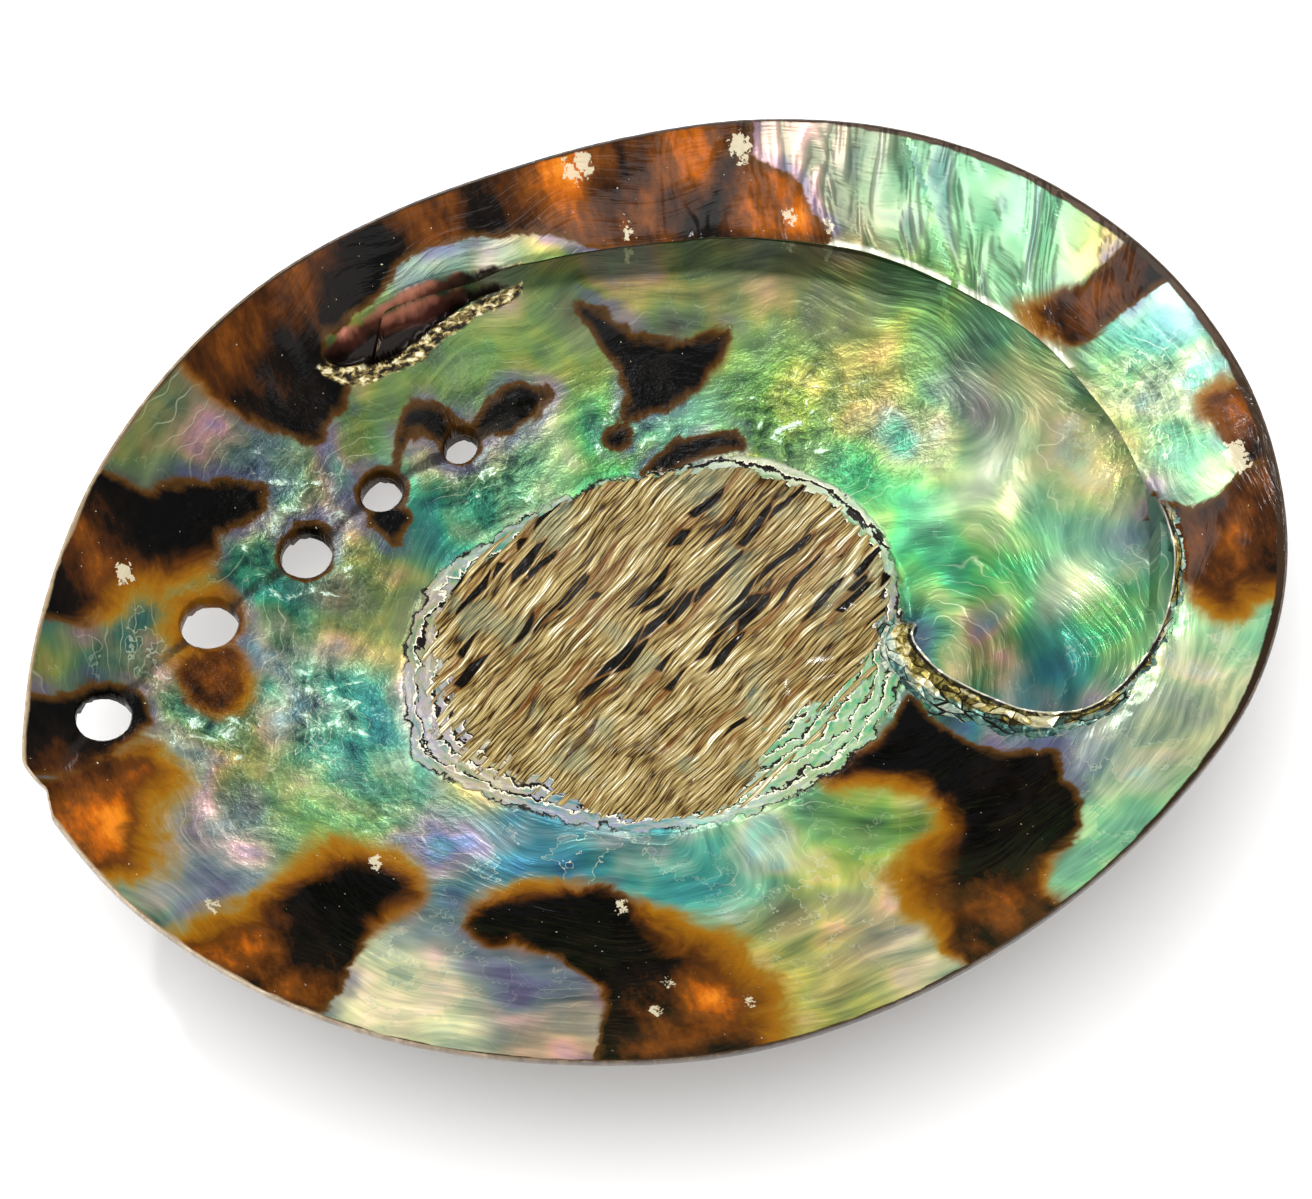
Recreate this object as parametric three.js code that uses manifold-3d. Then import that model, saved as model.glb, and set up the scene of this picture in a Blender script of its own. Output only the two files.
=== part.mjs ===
// Abalone shell lying on its back, open side up. One grown body.
// +X runs from the end with the newest hole to the spire end, +Y from the outer lip to the shelf, +Z up.
// The origin is under the middle of the outline, on the level that the back rests on.
import * as THREE from 'three';
import Module from 'manifold-3d';

// Driving dimensions, in millimetres and degrees
const RIM_HEIGHT = 39;
const RIM_RISE_TO_SHELF = 0.03;
const RIM_DIP_AT_ENDS = 2;
const HALF_LENGTH = 85;
const RIM_THICKNESS = 2;
const RIM_LIP_INSET = 0.4;
const FLOOR_THICKNESS = 3.2;
const DEEPEST_POINT = [2, 3.5];
const BOWL_CURVE = 2.2;
const SHELF_SIDE_CURVE = 1.65;
const SHELF_SIDE = { middle: 75, reach: 85 };
const BACK_CURVE_EXTRA = 0.15;
const REST_SPOT_SINK = 1.1;

// The outline of the rim seen from above, anticlockwise from the spire end
const RIM_OUTLINE = [
  [84.9, 0], [81.1, 21.6], [69.8, 40.3], [53.6, 53.6], [35.3, 61.1], [17.1, 64], [0, 64.3],
  [-16.9, 63], [-34.1, 59], [-50.6, 50.6], [-65.6, 37.9], [-76.6, 22.5], [-82.6, 9.5], [-84.9, 0.6],
  [-83, -6.5], [-77, -20.6], [-64.8, -36.6], [-49.6, -48.9], [-30.1, -58.4], [-10.3, -63.7],
  [10.3, -63.9], [31.6, -59.4], [52, -50.6], [68.9, -38.6], [80.2, -22],
];
const RIM_NOTCH = { x: -84.6, y: -1.8, halfWidth: 4.5, depth: 1.8, reach: 0.06 };

// The shelf along the inner lip: its angles are measured about the deepest point, from the spire end
const SHELF_FROM = -26;
const SHELF_TO = 126;
const SHELF_FADE = 16;
const SHELF_DROP = 6;
const SHELF_UNDERCUT = 0.022;
const SHELF_NARROWEST_AT = 40;
const SHELF_EDGE_SHARE = 0.755;
const SHELF_EDGE_SPREAD = { rise: 0.065, perDegrees: 60, upTo: 75 };

// The free edge of the ledge that curls in over the spire cavity, from the shelf to its inner end
const LEDGE_EDGE = [
  [67.4, -8, 30.6], [67, -15, 28.6], [64.1, -21.8, 27.3], [60.6, -25.5, 26.5], [56.7, -28.1, 25.6],
  [53.1, -29.7, 24.6], [49.6, -29.8, 23.3], [46.2, -27.8, 21.2], [43.2, -25.1, 18.9],
  [40.5, -21.4, 16.5], [38.3, -18.1, 14.7], [36.3, -14.4, 13.1], [35.1, -10.8, 12],
  [34.8, -7.5, 11.3], [36, -5, 10.8],
];
const LEDGE_STATIONS = 40;
const LEDGE_WIDTH = { atShelf: 1.1, atEnd: 5.4, widensOver: 0.77 };
const LEDGE_LIP = { thickness: 0.9, setBack: 0.25 };
const LEDGE_OVERHANG = 1.2;
const LEDGE_ROOT = { atShelf: 1.8, atEnd: 3.2 };
const LEDGE_FRILL = { count: 17, depth: 0.35, rise: 0.6, drop: 2 };
const LEDGE_STEP = { widthShare: 0.55, dropShare: 0.3 };
const LEDGE_SINK = { atShelf: 1.4, overFirst: 0.083, atTip: 1.6, overLast: 0.125 };
const CAVITY_DEPTH = { atShelf: 2.2, atEnd: 6, deepensOver: 0.625 };
const CAVITY_REACH = 24;
const CAVITY_MOUTH = { fadesFrom: -22, fadesTo: 4, pastTip: 6 };

// The muscle scar, a rough low plateau with a terraced border
const SCAR = { x: 0.4, y: 2.5, halfLength: 35.5, halfWidth: 26, turn: 5, borderShare: 0.12 };
const SCAR_RELIEF = { rise: 0.7, roughness: 0.45, waveA: [0.9, -0.55], waveB: [0.35, 0.8] };

// The breathing holes, newest first. The last hole is grown over.
const HOLES = [
  { x: -73.3, y: 9, radius: 3.3 },
  { x: -56.4, y: 20.9, radius: 3.5 },
  { x: -40.8, y: 29, radius: 3.3 },
  { x: -28.2, y: 34.8, radius: 2.7 },
  { x: -15.6, y: 37.9, radius: 2.2 },
];
const CLOSED_HOLE = { x: -5.3, y: 39.8, reach: 2.4, depth: 0.9 };
const HOLE_SIDES = 16;
// Each hole is longer along the row than across it
const HOLE_STRETCH = { alongRow: 1.2, acrossRow: 0.84 };
const HOLE_COLLAR = { width: 4.5, rise: 0.9 };
const CUTTER_HALF_HEIGHT = 30;

// The spire on the back: a low cone of whorls over the cavity, and the mounds of the oldest holes
const SPIRE = { x: 50, y: -17, radius: 31, depth: 7 };
const SUTURE = { depth: 0.8, firstTurnRadius: 4.5, growth: 0.23, plainTip: 6, borderFade: 3 };
const GROWTH_RIDGE = { spacing: 9, height: 0.45 };
const GROWN_OVER_MOUNDS = [[6, 40.5], [17, 39], [27, 35.5], [36, 30]];
const MOUND = { radius: 4, rise: 0.8 };
// Shares of the way to the rim where the back's relief starts, and where it ends before the rim
const BACK_RELIEF = { starts: 0.3, growsOver: 0.2, ends: 0.98, fadesOver: 0.08 };
const SPIRE_BLEND = { ends: 0.99, fadesOver: 0.12 };

// Rings of the mesh, from the deepest point to the rim
const RINGS = 26;
const EDGE_RING = 21;
const FULL_TURN = 2 * Math.PI;

const clamp01 = (value) => Math.min(1, Math.max(0, value));
const smooth = (value) => clamp01(value) ** 2 * (3 - 2 * clamp01(value));
const mix = (from, to, share) => from + (to - from) * share;

// Distance from the deepest point to the rim for every direction
const rimCurve = new THREE.CatmullRomCurve3(
  RIM_OUTLINE.map(([x, y]) => new THREE.Vector3(x, y, 0)), true, 'centripetal',
);
const rimSamples = rimCurve.getPoints(720).map((point) => {
  const dx = point.x - DEEPEST_POINT[0];
  const dy = point.y - DEEPEST_POINT[1];
  return { angle: (Math.atan2(dy, dx) + FULL_TURN) % FULL_TURN, radius: Math.hypot(dx, dy) };
}).sort((a, b) => a.angle - b.angle);

function rimRadius(angle) {
  const wanted = (angle + FULL_TURN) % FULL_TURN;
  const found = rimSamples.findIndex((sample) => sample.angle >= wanted);
  const next = found < 0 ? 0 : found;
  const last = (next + rimSamples.length - 1) % rimSamples.length;
  const gap = (rimSamples[next].angle - rimSamples[last].angle + FULL_TURN) % FULL_TURN;
  const share = gap > 0 ? ((wanted - rimSamples[last].angle + FULL_TURN) % FULL_TURN) / gap : 0;
  return mix(rimSamples[last].radius, rimSamples[next].radius, clamp01(share));
}

function rimHeight(x, y) {
  return RIM_HEIGHT + RIM_RISE_TO_SHELF * y - RIM_DIP_AT_ENDS * (x / HALF_LENGTH) ** 2;
}

// Signed degrees from one direction to another, between -180 and 180
function degreesFrom(angle, reference) {
  const turn = THREE.MathUtils.radToDeg(angle) - reference;
  return ((turn % 360) + 540) % 360 - 180;
}

function bowlCurve(angle) {
  const offShelf = Math.abs(degreesFrom(angle, SHELF_SIDE.middle)) / SHELF_SIDE.reach;
  return mix(SHELF_SIDE_CURVE, BOWL_CURVE, smooth(offShelf));
}

// How much of the shelf there is in a direction, and where its free edge lies
function shelfShare(angle) {
  const middle = (SHELF_FROM + SHELF_TO) / 2;
  const halfSpan = (SHELF_TO - SHELF_FROM) / 2;
  const beyond = Math.abs(degreesFrom(angle, middle)) - halfSpan;
  return 1 - smooth((beyond + SHELF_FADE) / SHELF_FADE);
}

function shelfEdge(angle) {
  const away = Math.min(Math.abs(degreesFrom(angle, SHELF_NARROWEST_AT)), SHELF_EDGE_SPREAD.upTo);
  return SHELF_EDGE_SHARE + SHELF_EDGE_SPREAD.rise * (away / SHELF_EDGE_SPREAD.perDegrees) ** 2;
}

// Share of the way from the deepest point to the rim for one ring
function ringShare(ring, angle) {
  const plain = ring / RINGS;
  const edge = shelfEdge(angle);
  let onShelf = edge + (1 - edge) * (ring - EDGE_RING) / (RINGS - EDGE_RING);
  if (ring < EDGE_RING) {
    onShelf = (edge + SHELF_UNDERCUT) * ring / (EDGE_RING - 1);
  }
  return mix(plain, onShelf, shelfShare(angle));
}

// Signed distance to the ledge's edge, negative over the cavity, and the share of the way along it
const ledgeCurve = new THREE.CatmullRomCurve3(LEDGE_EDGE.map((point) => new THREE.Vector3(...point)));
const ledgePoints = ledgeCurve.getSpacedPoints(LEDGE_STATIONS);

function nearestOnLedge(x, y) {
  const nearest = { distance: Infinity, side: 1, along: 0 };
  for (let i = 0; i < LEDGE_STATIONS; i += 1) {
    const from = ledgePoints[i];
    const ex = ledgePoints[i + 1].x - from.x;
    const ey = ledgePoints[i + 1].y - from.y;
    const share = clamp01(((x - from.x) * ex + (y - from.y) * ey) / (ex * ex + ey * ey));
    const distance = Math.hypot(x - from.x - share * ex, y - from.y - share * ey);
    if (distance < nearest.distance) {
      nearest.distance = distance;
      nearest.side = ex * (y - from.y) - ey * (x - from.x) > 0 ? 1 : -1;
      nearest.along = (i + share) / LEDGE_STATIONS;
    }
  }
  return { distance: nearest.side * nearest.distance, along: nearest.along };
}

// Inside the ledge's edge the cavity drops away, and it comes up again towards the open bowl
function cavityRelief(x, y) {
  const { distance, along } = nearestOnLedge(x, y);
  const tip = ledgePoints[LEDGE_STATIONS];
  const pastTip = along < 1 ? 0 : Math.hypot(x - tip.x, y - tip.y) / CAVITY_MOUTH.pastTip;
  const mouth = (y - CAVITY_MOUTH.fadesFrom) / (CAVITY_MOUTH.fadesTo - CAVITY_MOUTH.fadesFrom);
  const depth = mix(CAVITY_DEPTH.atShelf, CAVITY_DEPTH.atEnd, smooth(along / CAVITY_DEPTH.deepensOver))
    * (1 - smooth(mouth)) * (1 - smooth(pastTip));
  return distance > LEDGE_OVERHANG ? 0 : -depth * (1 - smooth((LEDGE_OVERHANG - distance) / CAVITY_REACH));
}

// The scar: a terrace round its border and fibres across it
function scarRelief(x, y) {
  const turn = THREE.MathUtils.degToRad(SCAR.turn);
  const u = ((x - SCAR.x) * Math.cos(turn) + (y - SCAR.y) * Math.sin(turn)) / SCAR.halfLength;
  const v = ((y - SCAR.y) * Math.cos(turn) - (x - SCAR.x) * Math.sin(turn)) / SCAR.halfWidth;
  const inside = smooth((1 - Math.hypot(u, v)) / SCAR.borderShare);
  const [ax, ay] = SCAR_RELIEF.waveA;
  const [bx, by] = SCAR_RELIEF.waveB;
  const fibres = Math.sin(ax * x + ay * y) * Math.cos(bx * x + by * y);
  return inside * (SCAR_RELIEF.rise + SCAR_RELIEF.roughness * fibres);
}

function rowDirection(index) {
  const start = Math.min(index, HOLES.length - 2);
  return Math.atan2(HOLES[start + 1].y - HOLES[start].y, HOLES[start + 1].x - HOLES[start].x);
}

function holeDistance(x, y) {
  return Math.min(...HOLES.map((hole) => Math.hypot(x - hole.x, y - hole.y) - hole.radius));
}

function moundRelief(x, y) {
  const nearest = Math.min(...GROWN_OVER_MOUNDS.map(([mx, my]) => Math.hypot(x - mx, y - my)));
  return MOUND.rise * (1 - smooth(nearest / MOUND.radius));
}

function innerHeight(x, y, share, angle, onShelf) {
  const rim = rimHeight(x, y);
  const bowl = FLOOR_THICKNESS + (rim - FLOOR_THICKNESS) * share ** bowlCurve(angle);
  const present = onShelf ? shelfShare(angle) : 0;
  const edge = shelfEdge(angle);
  const shelf = rim - SHELF_DROP * (1 - share) / (1 - edge);
  const fromClosed = Math.hypot(x - CLOSED_HOLE.x, y - CLOSED_HOLE.y);
  const closed = CLOSED_HOLE.depth * (1 - smooth(fromClosed / CLOSED_HOLE.reach));
  const relief = scarRelief(x, y) + cavityRelief(x, y);
  return mix(bowl + relief, shelf, present) - closed;
}

// The back: the spire, its sutures, growth ridges and a worn spot to rest on
function outerHeight(x, y, share, angle) {
  const rim = rimHeight(x, y) - RIM_THICKNESS;
  const bowl = rim * share ** (bowlCurve(angle) + BACK_CURVE_EXTRA);
  const sx = x - SPIRE.x;
  const sy = y - SPIRE.y;
  const fromApex = Math.hypot(sx, sy);
  const turns = Math.log(Math.max(fromApex, 1) / SUTURE.firstTurnRadius) / SUTURE.growth;
  const inSuture = Math.abs(((turns - Math.atan2(sy, sx)) / FULL_TURN) % 1) * 2 - 1;
  const onSpire = 1 - smooth(fromApex / SPIRE.radius);
  const whorls = SUTURE.depth * clamp01(Math.abs(inSuture))
    * smooth(fromApex / SUTURE.plainTip) * smooth(onSpire * SUTURE.borderFade);
  const ridges = GROWTH_RIDGE.height * Math.sin(FULL_TURN * fromApex / GROWTH_RIDGE.spacing);
  const collar = HOLE_COLLAR.rise * (1 - smooth(Math.max(holeDistance(x, y), 0) / HOLE_COLLAR.width));
  const away = smooth((share - BACK_RELIEF.starts) / BACK_RELIEF.growsOver)
    * smooth((BACK_RELIEF.ends - share) / BACK_RELIEF.fadesOver);
  const belowRim = smooth((SPIRE_BLEND.ends - share) / SPIRE_BLEND.fadesOver);
  const raised = SPIRE.depth * onSpire * belowRim + (collar - ridges) * away;
  const relief = whorls - raised - moundRelief(x, y);
  return Math.max(0, bowl + relief - REST_SPOT_SINK * (1 - share));
}

// Rows of vertices: inside, rim band and outside, all with the same angles at the rim
const positions = [];
const faces = [];

function addRing(ring, place) {
  const start = positions.length / 3;
  const count = Math.max(1, 6 * ring);
  for (let i = 0; i < count; i += 1) {
    positions.push(...place(FULL_TURN * i / count));
  }
  return { start, count };
}

// Joins a ring of 6k points to the next one of 6(k + 1), sector by sector
function joinRings(small, large, flip) {
  const add = (a, b, c) => faces.push(...(flip ? [a, c, b] : [a, b, c]));
  const perSector = large.count / 6;
  for (let sector = 0; sector < 6; sector += 1) {
    for (let i = 0; i < perSector; i += 1) {
      const outer = large.start + (sector * perSector + i) % large.count;
      const outerNext = large.start + (sector * perSector + i + 1) % large.count;
      const inner = small.start + (sector * (perSector - 1) + i) % small.count;
      add(inner, outer, outerNext);
      if (i + 1 < perSector) {
        const innerNext = small.start + (sector * (perSector - 1) + i + 1) % small.count;
        add(inner, outerNext, innerNext);
      }
    }
  }
}

function joinEqualRings(upper, lower) {
  for (let i = 0; i < upper.count; i += 1) {
    const next = (i + 1) % upper.count;
    faces.push(upper.start + i, lower.start + i, lower.start + next);
    faces.push(upper.start + i, lower.start + next, upper.start + next);
  }
}

function planPoint(share, angle) {
  const radius = share * rimRadius(angle);
  const x = DEEPEST_POINT[0] + radius * Math.cos(angle);
  const y = DEEPEST_POINT[1] + radius * Math.sin(angle);
  const inNotch = clamp01(1 - Math.hypot(x - RIM_NOTCH.x, y - RIM_NOTCH.y) / RIM_NOTCH.halfWidth);
  return [x + RIM_NOTCH.depth * inNotch * smooth((share - 1 + RIM_NOTCH.reach) / RIM_NOTCH.reach), y];
}

const inside = [];
for (let ring = 0; ring <= RINGS; ring += 1) {
  inside.push(addRing(ring, (angle) => {
    const inset = ring === RINGS ? RIM_LIP_INSET / rimRadius(angle) : 0;
    const share = ringShare(ring, angle) - inset;
    const [x, y] = planPoint(share, angle);
    return [x, y, innerHeight(x, y, share, angle, ring >= EDGE_RING)];
  }));
}

const outside = [];
for (let ring = 0; ring <= RINGS; ring += 1) {
  outside.push(addRing(ring, (angle) => {
    const share = ring / RINGS;
    const [x, y] = planPoint(share, angle);
    return [x, y, outerHeight(x, y, share, angle)];
  }));
}

for (let ring = 0; ring < RINGS; ring += 1) {
  joinRings(inside[ring], inside[ring + 1], false);
  joinRings(outside[ring], outside[ring + 1], true);
}
joinEqualRings(inside[RINGS], outside[RINGS]);

const wasm = await Module();
wasm.setup();

function solidOf(vertexList, faceList) {
  return new wasm.Manifold(new wasm.Mesh({
    numProp: 3,
    vertProperties: new Float32Array(vertexList),
    triVerts: new Uint32Array(faceList),
  }));
}

// A hole's cutter: an upright oval prism, longer than the shell is high
function holeCutter(hole, index) {
  const turn = rowDirection(index);
  const vertices = [hole.x, hole.y, -CUTTER_HALF_HEIGHT, hole.x, hole.y, 2 * CUTTER_HALF_HEIGHT];
  const triangles = [];
  for (let i = 0; i < HOLE_SIDES; i += 1) {
    const angle = FULL_TURN * i / HOLE_SIDES;
    const along = HOLE_STRETCH.alongRow * hole.radius * Math.cos(angle);
    const across = HOLE_STRETCH.acrossRow * hole.radius * Math.sin(angle);
    const x = hole.x + along * Math.cos(turn) - across * Math.sin(turn);
    const y = hole.y + along * Math.sin(turn) + across * Math.cos(turn);
    vertices.push(x, y, -CUTTER_HALF_HEIGHT, x, y, 2 * CUTTER_HALF_HEIGHT);
    const low = 2 + 2 * i;
    const nextLow = 2 + 2 * ((i + 1) % HOLE_SIDES);
    triangles.push(0, nextLow, low, 1, low + 1, nextLow + 1);
    triangles.push(low, nextLow, nextLow + 1, low, nextLow + 1, low + 1);
  }
  return solidOf(vertices, triangles);
}

// The ledge: a lip swept along its edge, thin over the cavity and scalloped where it meets the flange
function ledgeSolid() {
  const vertices = [];
  const triangles = [];
  const stations = LEDGE_STATIONS + 1;
  const perStation = 5;
  for (let i = 0; i < stations; i += 1) {
    const along = i / LEDGE_STATIONS;
    const point = ledgePoints[i];
    const tangent = ledgeCurve.getTangentAt(along);
    const flat = Math.hypot(tangent.x, tangent.y);
    const out = [-tangent.y / flat, tangent.x / flat];
    const scallop = LEDGE_FRILL.depth * Math.cos(FULL_TURN * LEDGE_FRILL.count * along);
    const widened = smooth(along / LEDGE_WIDTH.widensOver);
    const width = mix(LEDGE_WIDTH.atShelf, LEDGE_WIDTH.atEnd, widened) + scallop;
    const sunkAtShelf = LEDGE_SINK.atShelf * (1 - smooth(along / LEDGE_SINK.overFirst));
    const sunkAtTip = LEDGE_SINK.atTip * smooth(1 - (1 - along) / LEDGE_SINK.overLast);
    const sink = LEDGE_FRILL.rise + sunkAtShelf + sunkAtTip;
    const frillTop = point.z - LEDGE_FRILL.drop + LEDGE_FRILL.rise * 2 - sink;
    const root = mix(LEDGE_ROOT.atShelf, LEDGE_ROOT.atEnd, along);
    const stepTop = mix(point.z, frillTop, LEDGE_STEP.dropShare) - sink / 2;
    const section = [
      [0, point.z - sink + LEDGE_FRILL.rise],
      [LEDGE_LIP.setBack, point.z - LEDGE_LIP.thickness - sink],
      [LEDGE_OVERHANG + width, point.z - root - sink],
      [width, frillTop],
      [width * LEDGE_STEP.widthShare, stepTop],
    ];
    section.forEach(([across, z]) => vertices.push(point.x + out[0] * across, point.y + out[1] * across, z));
  }
  for (let i = 0; i + 1 < stations; i += 1) {
    for (let j = 0; j < perStation; j += 1) {
      const a = i * perStation + j;
      const b = i * perStation + (j + 1) % perStation;
      triangles.push(a, b, b + perStation, a, b + perStation, a + perStation);
    }
  }
  const last = (stations - 1) * perStation;
  for (let j = 1; j + 1 < perStation; j += 1) {
    triangles.push(0, j + 1, j, last, last + j, last + j + 1);
  }
  return solidOf(vertices, triangles);
}

const blank = solidOf(positions, faces);
const bored = HOLES.reduce((body, hole, index) => body.subtract(holeCutter(hole, index)), blank);
const shell = bored.add(ledgeSolid());
const cut = shell.getMesh();

const geometry = new THREE.BufferGeometry();
geometry.setAttribute('position', new THREE.BufferAttribute(new Float32Array(cut.vertProperties), 3));
geometry.setIndex(new THREE.BufferAttribute(new Uint32Array(cut.triVerts), 1));
geometry.computeVertexNormals();

const nacre = new THREE.MeshStandardMaterial({ color: 0x9db59a, roughness: 0.3, metalness: 0 });
const abaloneShell = new THREE.Mesh(geometry, nacre);
abaloneShell.name = 'abalone_shell';

const group = new THREE.Group();
group.name = 'abalone_shell_part';
group.add(abaloneShell);

export default group;
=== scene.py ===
import math
import bpy
import numpy as np
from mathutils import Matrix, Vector


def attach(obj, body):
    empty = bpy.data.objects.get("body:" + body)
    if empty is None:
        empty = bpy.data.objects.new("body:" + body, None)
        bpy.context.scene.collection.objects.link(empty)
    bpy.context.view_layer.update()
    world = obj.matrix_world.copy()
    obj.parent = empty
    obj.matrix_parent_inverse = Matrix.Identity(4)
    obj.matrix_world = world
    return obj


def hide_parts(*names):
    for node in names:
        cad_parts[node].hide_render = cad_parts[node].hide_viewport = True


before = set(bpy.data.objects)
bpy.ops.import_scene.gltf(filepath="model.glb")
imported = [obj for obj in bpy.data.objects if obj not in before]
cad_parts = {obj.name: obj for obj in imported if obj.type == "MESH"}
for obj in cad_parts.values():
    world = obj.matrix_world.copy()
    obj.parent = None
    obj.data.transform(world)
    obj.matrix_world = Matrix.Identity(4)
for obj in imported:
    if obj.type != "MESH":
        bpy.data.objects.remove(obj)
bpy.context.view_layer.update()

# The shell is one body of lime that the animal lays down along its lip, turn by turn, and lines with pearl.
# Its open side is egg-shaped, with a thin ground rim and a small notch where the row of holes runs out.
# All places on it are plan millimetres from the middle of the outline, +Y towards the shelf.
FULL_TURN = 2 * math.pi
RIM_OUTLINE = [
    (84.9, 0), (81.1, 21.6), (69.8, 40.3), (53.6, 53.6), (35.3, 61.1), (17.1, 64), (0, 64.3),
    (-16.9, 63), (-34.1, 59), (-50.6, 50.6), (-65.6, 37.9), (-76.6, 22.5), (-82.6, 9.5), (-84.9, 0.6),
    (-83, -6.5), (-77, -20.6), (-64.8, -36.6), (-49.6, -48.9), (-30.1, -58.4), (-10.3, -63.7),
    (10.3, -63.9), (31.6, -59.4), (52, -50.6), (68.9, -38.6), (80.2, -22),
]
NOTCH = (-84.6, -1.8)
NOTCH_HALF_WIDTH = 4.5
NOTCH_DEPTH = 1.8
DEEPEST_POINT = (2.0, 3.5)
RIM_HEIGHT = 39.0
RIM_RISE_TO_SHELF = 0.03
RIM_DIP_AT_ENDS = 2.0
HALF_LENGTH = 85.0


def curve_through(points, closed, steps):
    """A smooth curve through a few points."""
    points = np.array(points, dtype=float)
    count = len(points)
    if closed:
        padded = np.vstack([points[-1:], points, points[:2]])
    else:
        padded = np.vstack([2 * points[0] - points[1], points, 2 * points[-1] - points[-2]])
    pieces = count if closed else count - 1
    share = np.arange(steps)[:, None] / steps
    out = []
    for i in range(pieces):
        before, start, end, after = padded[i:i + 4]
        gap_0 = np.linalg.norm(start - before) ** 0.5
        gap_1 = np.linalg.norm(end - start) ** 0.5
        gap_2 = np.linalg.norm(after - end) ** 0.5
        leave = ((start - before) / gap_0 - (end - before) / (gap_0 + gap_1) + (end - start) / gap_1) * gap_1
        reach = ((end - start) / gap_1 - (after - start) / (gap_1 + gap_2) + (after - end) / gap_2) * gap_1
        bend = 2 * start - 2 * end + leave + reach
        pull = -3 * start + 3 * end - 2 * leave - reach
        out.append(start + share * leave + share ** 2 * pull + share ** 3 * bend)
    if not closed:
        out.append(points[-1:])
    return np.vstack(out)


rim_curve = curve_through(RIM_OUTLINE, True, 40)
rim_dx = rim_curve[:, 0] - DEEPEST_POINT[0]
rim_dy = rim_curve[:, 1] - DEEPEST_POINT[1]
rim_angles = np.arctan2(rim_dy, rim_dx) % FULL_TURN
rim_order = np.argsort(rim_angles)
rim_angles = rim_angles[rim_order]
rim_radii = np.hypot(rim_dx, rim_dy)[rim_order]


def rim_radius(angle):
    return np.interp(angle % FULL_TURN, rim_angles, rim_radii, period=FULL_TURN)


def rim_height(x, y):
    return RIM_HEIGHT + RIM_RISE_TO_SHELF * y - RIM_DIP_AT_ENDS * (x / HALF_LENGTH) ** 2


def share_and_angle(x, y):
    """Share of the way from the deepest point to the rim, and the direction."""
    dx = x - DEEPEST_POINT[0]
    dy = y - DEEPEST_POINT[1]
    angle = np.arctan2(dy, dx) % FULL_TURN
    return np.hypot(dx, dy) / rim_radius(angle), angle


# The shelf: the flattened inner lip, a broad smooth band that slopes in from the rim and ends
# in a sharp free edge hanging a little over the bowl. Its far end closes in a small lens-shaped pocket.
SHELF_DROP = 6.0
SHELF_EDGE_SHARE = 0.755
SHELF_EDGE_SPREAD = 0.065
SHELF_NARROWEST_AT = 40
LIP_THICKNESS = 0.8
POCKET_OUTLINE = [
    (-31, 50.6), (-27, 52.8), (-18, 54.3), (-9, 54.3), (-3, 53), (-9, 52.2), (-15, 50.6), (-20, 49),
    (-25, 48.4), (-29.5, 48.8),
]
POCKET_DEPTH = 3.0


def smooth(value):
    value = np.clip(value, 0.0, 1.0)
    return value * value * (3 - 2 * value)


def mix(low, high, share):
    return low + (high - low) * share


def degrees_from(angle, reference):
    return (np.degrees(angle) - reference + 540) % 360 - 180


def bowl_curve(angle):
    return mix(1.65, 2.2, smooth(np.abs(degrees_from(angle, 75)) / 85))


def shelf_share(angle):
    beyond = np.abs(degrees_from(angle, 50)) - 76
    return 1 - smooth((beyond + 16) / 16)


def lip_share(angle):
    beyond = np.abs(degrees_from(angle, 54)) - 68
    return 1 - smooth((beyond + 8) / 8)


def shelf_edge(angle):
    away = np.minimum(np.abs(degrees_from(angle, SHELF_NARROWEST_AT)), 75) / 60
    return SHELF_EDGE_SHARE + SHELF_EDGE_SPREAD * away ** 2


def outline_distance(x, y, outline):
    """Signed distance to a closed outline, negative inside it."""
    loop = np.array(outline, dtype=float)
    ends = np.roll(loop, -1, axis=0)
    nearest = np.full(x.shape, 1e9)
    inside = np.zeros(x.shape, dtype=bool)
    for (ax, ay), (bx, by) in zip(loop, ends):
        ex = bx - ax
        ey = by - ay
        along = np.clip(((x - ax) * ex + (y - ay) * ey) / (ex * ex + ey * ey + 1e-9), 0, 1)
        nearest = np.minimum(nearest, np.hypot(x - ax - along * ex, y - ay - along * ey))
        crosses = (ay > y) != (by > y)
        crossing_x = ax + (y - ay) / (ey + (abs(ey) < 1e-9) * 1e-9) * ex
        inside ^= crosses & (x < crossing_x)
    return np.where(inside, -nearest, nearest)


# The ledge: the end of the inner lip, which curls in over the hollow of the spire.
# It is grown in thin terraces, with a sharp free edge over the hollow and a frilled border towards the bowl.
LEDGE_EDGE = [
    (68, -6), (68, -11), (67.2, -16.1), (64.3, -21.6), (60.7, -25.3), (56.9, -27.9), (53.2, -29.5),
    (49.8, -29.6), (46.6, -27.9), (43.3, -24.9), (40.7, -21.1), (38.5, -17.8), (36.4, -14.1),
    (35.2, -10.5), (34.9, -7.2), (36.4, -4.6),
]
LEDGE_RISE = 2.0
LEDGE_WIDTH_AT_SHELF = 1.2
LEDGE_WIDTH_AT_END = 5.4
LEDGE_OVERHANG = 1.5
CAVITY_DEPTH_AT_SHELF = 2.2
CAVITY_DEPTH_AT_END = 5.6
CAVITY_REACH = 24.0
ledge_curve = curve_through(LEDGE_EDGE, False, 6)


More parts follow.
